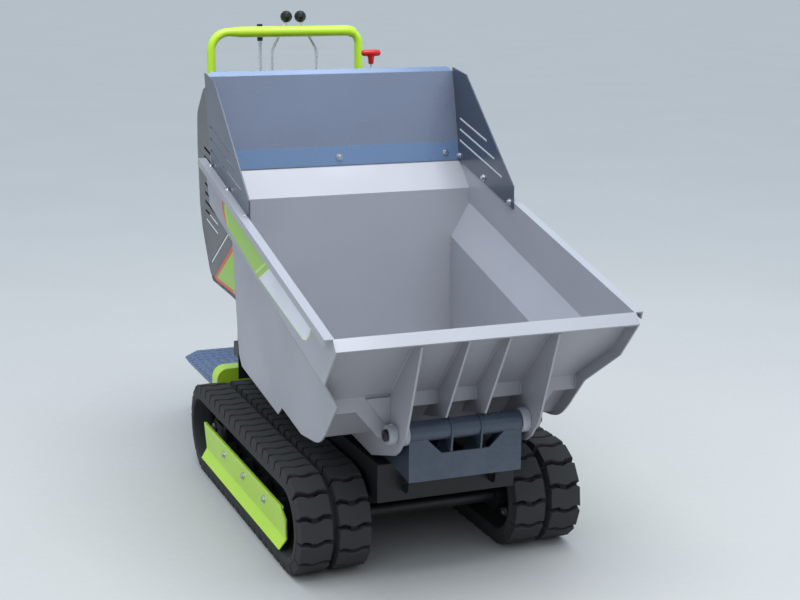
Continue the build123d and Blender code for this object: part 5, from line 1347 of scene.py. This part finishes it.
@dataclass
class Console(Assembly):
    """Side panels' screws, fields of colour and a painted shade along their foot, the cowl's boots and cap, and
    the clamps' bolts.
    """

    face: float = 300.0
    screws: Profile = (
        (785.0, 1005.0), (785.0, 800.0), (785.0, 620.0), (785.0, 440.0), (940.0, 1005.0), (1060.0, 1005.0),
    )
    screw: Profile = ((0.0, 7.0), (0.6, 7.0), (1.6, 5.6), (2.6, 3.6), (2.9, 1.6))
    # x, station, level and radius of each boot
    boots: tuple[tuple[float, float, float, float], ...] = (
        (-37.0, 1232.0, 930.0, 16.0), (113.0, 1232.0, 930.0, 16.0), (-77.0, 1232.0, 930.0, 11.0),
        (217.0, 1000.0, 995.0, 9.0),
    )
    # height, and share of the boot's radius
    boot: Profile = (
        (0.0, 1.0), (2.0, 1.0), (5.0, 0.86), (8.0, 0.875), (11.0, 0.735), (14.0, 0.75), (17.0, 0.61),
        (20.0, 0.625), (23.0, 0.485), (27.0, 0.38),
    )
    plate: Profile = ((0.0, 6.0), (1.2, 6.0), (1.6, 5.0))
    cap_seat: tuple[float, float, float] = (120.0, 880.0, 995.0)
    cap: Profile = ((0.0, 34.0), (4.0, 34.0), (5.0, 30.0), (16.0, 30.0), (19.0, 27.0), (20.0, 12.0))
    cap_rib: Profile = ((5.0, 2.2), (16.0, 2.2), (17.5, 1.0))
    cap_rib_radius: float = 30.5
    clamp_face: float = 267.0
    clamp_seat: Point2 = (8.0, 17.0)  # ahead of the clamp's middle, and in from its ends
    clamp_bolt: Point2 = (10.0, 8.0)
    # corners of each film are stations and levels
    films: tuple[Film, ...] = (
        # Black strip along the panel's foot: painted shade of its lower flange.
        Film("flange_painted_shade", FLANGE_SHADE_FILM, 0.25, (
            (770.0, 418.0), (1034.0, 424.5), (1052.0, 436.0), (1036.0, 440.0), (770.0, 432.0))),
        Film("field_edge", ORANGE_FILM, 0.4, (
            (770.0, 594.0), (814.0, 566.0), (1012.0, 440.0), (1008.0, 434.0), (770.0, 430.0))),
        Film("field_green", GREEN_FILM, 0.6, (
            (770.0, 577.0), (797.0, 558.0), (982.0, 444.0), (770.0, 441.0))),
    )

    def build(self) -> None:
        """Build what dresses the console."""
        work, clamps = MeshWork(), MeshWork()
        for place in self.screws:
            for seat, out in self.both(self.face, *place):
                work.lathe(seat, out, self.screw, 20)
        work.piece("panel_screws", PLATED_STEEL)
        for flat in self.films:
            slot = "" if flat.finish is GREEN_FILM else PANEL_GREY.slot
            flat.lay(self.panel_point, "chassis", slot)
        self.cowl_fittings()
        low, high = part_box("handle_clamps")
        ahead, inset = (length * MM for length in self.clamp_seat)
        for side in SIDES:
            for z in (low.z + inset, high.z - inset):
                seat = Vector((side * self.clamp_face * MM, (low.y + high.y) / 2 - ahead, z))
                clamps.bolt(seat, side * ACROSS, *self.clamp_bolt)
        clamps.piece("clamp_bolts", PLATED_STEEL)

    def panel_point(self, side: float, station: float, level: float) -> Vector:
        """Give a point on the outer face of a side panel."""
        return self.datum.at(side * self.face, station, level)

    def cowl_fittings(self) -> None:
        """Set a ribbed rubber boot and its plate round every lever's foot, and a filler cap beside them."""
        boots, plates, cap = MeshWork(), MeshWork(), MeshWork()
        for x, station, level, radius in self.boots:
            seat = self.datum.at(x, station, level)
            boots.lathe(seat, UP, [(rise, radius * share) for rise, share in self.boot], 24)
            plates.lathe(seat, UP, [(rise, radius + edge) for rise, edge in self.plate], 32)
        boots.piece("lever_boots", SOFT_RUBBER)
        plates.piece("boot_plates", PLATED_STEEL)
        seat = self.datum.at(*self.cap_seat)
        cap.lathe(seat, UP, self.cap, 36)
        for rib in circle(seat, ACROSS, BACK, self.cap_rib_radius, 12):
            cap.lathe(rib, UP, self.cap_rib, 8)
        cap.piece("filler_cap", BLACK_PLASTIC)


@dataclass
class Controls(Assembly):
    """Handle bar with its grip, the choke's pull and the third lever's sheath."""

    station: float = 1200.0
    level: float = 1186.0
    half: float = 247.0
    bar_radius: float = 13.5
    left_bend: float = 58.0
    right_bend: float = 42.0
    grip_left: float = -150.0
    grip_taper: float = 28.0
    grip_radius: float = 17.0
    grip_wrap: float = 34.0  # degrees of the right bend that the grip covers
    steps: int = 12
    pull_stem: Profile = ((0.0, 7.2), (2.0, 8.2), (18.0, 9.8), (27.0, 12.5))
    pull_end: Profile = ((0.0, 4.5), (1.2, 7.2), (3.6, 9.0), (8.0, 10.0))
    pull_middle: Point2 = (4.0, 10.6)  # distance from the pull's middle, and radius there
    pull_rise: float = 34.5
    sheath_foot: tuple[float, float, float] = (-77.0, 1232.0, 940.0)
    sheath: Profile = ((0.0, 5.0), (1.0, 6.0), (222.0, 6.0), (223.0, 5.0))

    def build(self) -> None:
        """Build the bar, the grip, the pull and the sheath."""
        foot = (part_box("handle_bar")[0].z - self.datum.axle_z) / MM
        ends = [self.datum.at(side * self.half, self.station, foot) for side in SIDES]
        bends = self.bend(-1.0, self.left_bend, 0.0, 90.0) + self.bend(1.0, self.right_bend, 90.0, 0.0)
        bar = MeshWork()
        bar.tube([ends[0], *bends, ends[1]], self.bar_radius, 28)
        bar.piece("handle_tube", LIME_GREEN, replaces=("handle_bar",))
        start = self.datum.at(self.grip_left, self.station, self.level)
        grip = MeshWork()
        wrap = self.bend(1.0, self.right_bend, 90.0, 90.0 - self.grip_wrap)
        grip.tube([start, *wrap], self.grip_radius, 28)
        grip.lathe(start, -ACROSS, ((0.0, self.grip_radius), (self.grip_taper, self.bar_radius + 0.3)), 28)
        grip.piece("handle_sleeve", LIME_GREEN, replaces=("handle_grip",))
        self.pull()
        sheath = MeshWork()
        sheath.lathe(self.datum.at(*self.sheath_foot), UP, self.sheath, 20)
        sheath.piece("lever_sheath", LEVER_STEEL)

    def bend(self, side: float, radius: float, start: float, stop: float) -> list[Vector]:
        """Follow one bend of the bar.

        Args:
            side: -1 for the left bend, 1 for the right one.
            radius: Bend's radius.
            start: First angle up from level, in degrees.
            stop: Last one.

        Returns:
            Points of the bend.
        """
        x, level = self.half - radius, self.level - radius
        points = []
        for step in range(self.steps + 1):
            angle = math.radians(start + (stop - start) * step / self.steps)
            across, rise = x + radius * math.cos(angle), level + radius * math.sin(angle)
            points.append(self.datum.at(side * across, self.station, rise))
        return points

    def pull(self) -> None:
        """Mould the choke's T-shaped pull."""
        low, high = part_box("choke_knob")
        foot = Vector(((low.x + high.x) / 2, (low.y + high.y) / 2, low.z))
        half = (high.x - low.x) / 2 / MM
        profile = (*self.pull_end, (half - self.pull_middle[0], self.pull_middle[1]))
        profile += tuple((2 * half - along, radius) for along, radius in reversed(profile))
        work = MeshWork()
        work.lathe(foot, UP, self.pull_stem, 28)
        work.lathe(foot + UP * self.pull_rise * MM - ACROSS * half * MM, ACROSS, profile, 28)
        work.piece("choke_pull", RED_PLASTIC, smooth=50.0, replaces=("choke_knob",))


@dataclass
class Engine(Assembly):
    """Small petrol engine in the room of its block: crankcase, finned barrel, starter, exhaust and tank."""

    # insets from the block's left, front, right and rear in mm, foot and top as shares of its height, and bevel
    sump: tuple[float, ...] = (0.0, 0.0, 0.0, 0.0, 0.0, 0.12, 3.0)
    crankcase: tuple[float, ...] = (30.0, 20.0, 40.0, 25.0, 0.12, 0.55, 12.0)
    barrel: tuple[float, ...] = (80.0, 60.0, 140.0, 65.0, 0.55, 0.82, 4.0)
    tank: tuple[float, ...] = (8.0, 10.0, 70.0, 12.0, 0.82, 1.0, 22.0)
    fin_insets: tuple[float, ...] = (60.0, 40.0, 120.0, 45.0)
    fins: int = 11
    fin_span: Point2 = (0.56, 0.8)
    fin_thickness: float = 4.5
    starter_seat: tuple[float, float, float] = (110.0, 26.0, 0.36)
    starter: Profile = ((0.0, 92.0), (12.0, 90.0), (18.0, 80.0), (20.0, 52.0), (26.0, 48.0), (26.0, 20.0))
    exhaust_width: float = 66.0
    exhaust: tuple[float, ...] = (45.0, 0.0, 40.0, 0.62, 0.92, 14.0)
    hole: Profile = ((-0.5, 4.5), (0.5, 4.0), (0.2, 2.6))
    hole_rows: Sequence[int] = range(6)
    hole_columns: Sequence[int] = range(8)
    first_hole: Point2 = (70.0, 0.67)  # behind the block's front in mm, and share of its height
    hole_step: Point2 = (17.0, 0.04)

    def build(self) -> None:
        """Build the engine in place of its block."""
        low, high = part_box("engine_block")
        size = high - low

        def box(work: MeshWork, *sizes: float) -> None:
            """Add one bevelled box inside the block's room.

            Args:
                work: Mesh to add to.
                sizes: Its insets, foot, top and bevel.
            """
            left, front, right, rear, base, top, edge = sizes
            near = Vector((low.x + left * MM, low.y + front * MM, low.z + size.z * base))
            work.block(near, Vector((high.x - right * MM, high.y - rear * MM, low.z + size.z * top)), edge)

        case, cover, exhaust = MeshWork(), MeshWork(), MeshWork()
        box(case, *self.sump)
        box(case, *self.crankcase)
        for fin in range(self.fins):
            base = self.fin_span[0] + (self.fin_span[1] - self.fin_span[0]) * fin / self.fins
            box(case, *self.fin_insets, base, base + self.fin_thickness * MM / size.z, 1.0)
        box(case, *self.barrel)
        case.piece("engine", ENGINE_CAST, replaces=("engine_block",))
        box(cover, *self.tank)
        x, ahead, share = self.starter_seat
        seat = Vector((low.x + x * MM, high.y - ahead * MM, low.z + size.z * share))
        cover.lathe(seat, BACK, self.starter, 40)
        cover.piece("engine_covers", BLACK_PLASTIC)
        box(exhaust, size.x / MM - self.exhaust_width, *self.exhaust)
        for row in self.hole_rows:
            for column in self.hole_columns:
                back = self.first_hole[0] + self.hole_step[0] * column
                share = self.first_hole[1] + self.hole_step[1] * row
                place = Vector((high.x, low.y + back * MM, low.z + size.z * share))
                exhaust.lathe(place, ACROSS, self.hole, 10)
        exhaust.piece("exhaust_box", TURNED_STEEL, slot=ENGINE_CAST.slot)


@dataclass
class Footboard(Assembly):
    """Raised bars of the tread plate and the hinge's nuts."""

    pitch: float = 27.0
    length: float = 24.0
    width: float = 7.0
    rise: float = 2.3
    edge: float = 12.0
    front: float = 1092.0
    fold_back: float = 115.0
    fold_gap: float = 9.0
    corner: float = 69.4
    heel_rise: float = 8.0
    lens: Profile = ((-0.3, 1.0), (0.5, 0.92), (1.0, 0.55))  # share of the rise and of the size, ring by ring
    nut_inset: float = 12.0
    nut: Point2 = (13.0, 11.0)

    def build(self) -> None:
        """Raise slanting bars over the plate, turned every other way, and close the hinge pin with nuts."""
        work = MeshWork()
        low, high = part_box("platform")
        front = self.datum.at(0, self.front, 0).y
        fold = high.y - self.fold_back * MM
        rows = int((high.y - front) / (self.pitch * MM))
        columns = int((high.x - low.x) / (self.pitch * MM))
        for row in range(rows):
            for column in range(columns):
                x = low.x + (column + 0.5) * (high.x - low.x) / columns
                y = front + (row + 0.5) * (high.y - front) / rows
                from_side = high.x - abs(x)
                cut_off = from_side + high.y - y < self.corner * MM
                if cut_off or from_side < self.edge * MM or abs(y - fold) < self.fold_gap * MM:
                    continue
                z = high.z - self.heel_rise * MM + max(0.0, y - fold) * self.heel_rise / self.fold_back
                self.bar(work, Vector((x, y, z)), math.radians(45.0 if (row + column) % 2 else -45.0))
        work.piece("tread_bars", BAR_COAT, "footboard", smooth=50.0)
        nuts = MeshWork()
        low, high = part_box("platform_hinge")
        y, z = high.y - self.nut_inset * MM, (low.z + high.z) / 2
        for side, x in zip(SIDES, (low.x, high.x)):
            nuts.bolt(Vector((x, y, z)), side * ACROSS, *self.nut)
        nuts.piece("hinge_nuts", PLATED_STEEL)

    def bar(self, work: MeshWork, middle: Vector, turn: float) -> None:
        """Add one lens-shaped bar.

        Args:
            work: Mesh to add to.
            middle: Middle of the bar on the plate.
            turn: Way it points, in radians.
        """
        along = Vector((math.cos(turn), math.sin(turn), 0)) * self.length / 2
        across = Vector((-math.sin(turn), math.cos(turn), 0)) * self.width / 2
        rise = UP * self.rise * MM
        work.loop_shell([circle(middle + rise * lift, along, across, scale, 8) for lift, scale in self.lens])


# ---------------------------------------------------------------- studio
@dataclass
class Studio:
    """Plain floor, soft light and the camera."""

    place: tuple[float, float, float] = (-1.4868, -4.1313, 1.5572)
    azimuth: float = -21.519
    elevation: float = 12.597
    roll: float = 0.23
    focal: float = 69.06
    floor_radius: float = 400.0
    horizon: Colour = screen(110, 108, 106)
    zenith: Colour = screen(218, 236, 255)
    dome_strength: float = 1.7
    background: Colour = screen(182, 192, 200)
    # name, place, target, length of side and power
    lamps: tuple[tuple, ...] = (
        ("overhead", (0.0, -1.3, 4.6), (0.0, 0.1, 0.5), 3.5, 160.0),
        ("front_fill", (-3.4, -4.2, 3.0), (0.0, 0.0, 0.6), 3.0, 5.0),
    )

    def build(self) -> None:
        """Build the whole studio: a large soft lamp overhead and a weaker one from the front."""
        self.floor()
        self.sky()
        for lamp in self.lamps:
            self.lamp(*lamp)
        self.camera()

    def floor(self) -> None:
        """Lay the floor."""
        mesh = bmesh.new()
        bmesh.ops.create_circle(mesh, cap_ends=True, segments=96, radius=self.floor_radius)
        data = bpy.data.meshes.new("floor")
        mesh.to_mesh(data)
        mesh.free()
        data.materials.append(FLOOR.material())
        link("floor", data)

    def sky(self) -> None:
        """Light the scene evenly, a little more from above, and show a pale background."""
        world = bpy.data.worlds.new("studio")
        world.use_nodes = True
        bpy.context.scene.world = world
        wiring = Wiring(world.node_tree)
        way = wiring.node("ShaderNodeTexCoord").outputs["Generated"]
        up = wiring.node("ShaderNodeSeparateXYZ", {0: way}).outputs["Z"]
        dome = wiring.blend(wiring.span(up, -0.05, 0.9), self.horizon, self.zenith)
        light = wiring.node("ShaderNodeBackground", {"Color": dome, "Strength": self.dome_strength})
        seen = wiring.node("ShaderNodeBackground", {"Color": self.background, "Strength": 1.0})
        path = wiring.node("ShaderNodeLightPath").outputs
        direct = wiring.maths("MAXIMUM", path["Is Camera Ray"], path["Is Transmission Ray"])
        share = wiring.maths("MAXIMUM", direct, path["Is Glossy Ray"])
        mixed = wiring.node("ShaderNodeMixShader", {0: share, 1: light.outputs[0], 2: seen.outputs[0]})
        wiring.node("ShaderNodeOutputWorld", {"Surface": mixed.outputs[0]})

    @staticmethod
    def lamp(name: str, place: tuple, target: tuple, size: float, power: float) -> None:
        """Hang one square soft lamp.

        Args:
            name: Name of the lamp.
            place: Where it hangs.
            target: Where it points.
            size: Length of its side.
            power: Its power in watts.
        """
        data = bpy.data.lights.new(name, "AREA")
        data.shape = "SQUARE"
        data.size = size
        data.energy = power
        made = link(name, data)
        made.location = place
        made.rotation_euler = (Vector(target) - Vector(place)).to_track_quat("-Z", "Y").to_euler()

    def camera(self) -> None:
        """Set the camera up."""
        turn, lift, roll = (math.radians(angle) for angle in (self.azimuth, self.elevation, self.roll))
        back = Vector((math.sin(turn) * math.cos(lift), -math.cos(turn) * math.cos(lift), math.sin(lift)))
        right = Vector((math.cos(turn), math.sin(turn), 0.0))
        up = back.cross(right)
        across = right * math.cos(roll) + up * math.sin(roll)
        upright = up * math.cos(roll) - right * math.sin(roll)
        data = bpy.data.cameras.new("camera")
        data.lens = self.focal
        data.sensor_width = 36.0
        data.clip_end = 200.0
        made = link("camera", data)
        turned = Matrix((across, upright, back)).transposed()
        made.matrix_world = Matrix.Translation(self.place) @ turned.to_4x4()
        bpy.context.scene.camera = made


def main() -> None:
    """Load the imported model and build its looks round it."""
    logging.basicConfig(level=logging.INFO, format="%(name)s: %(message)s")
    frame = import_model()
    bpy.context.scene.view_settings.view_transform = "Standard"
    datum = Datum.read()
    dress_nodes(frame)
    skip = Skip(datum, random.Random(7))
    plain = (Tracks, TrackGuards, Hinge, Undercarriage)
    rest = (SplashGuard, Console, Controls, Engine, Footboard)
    for assembly in (*(kind(datum) for kind in plain), skip, *(kind(datum) for kind in rest), Studio()):
        assembly.build()
        LOG.info("%s built", type(assembly).__name__)


if __name__ == "__main__":
    main()
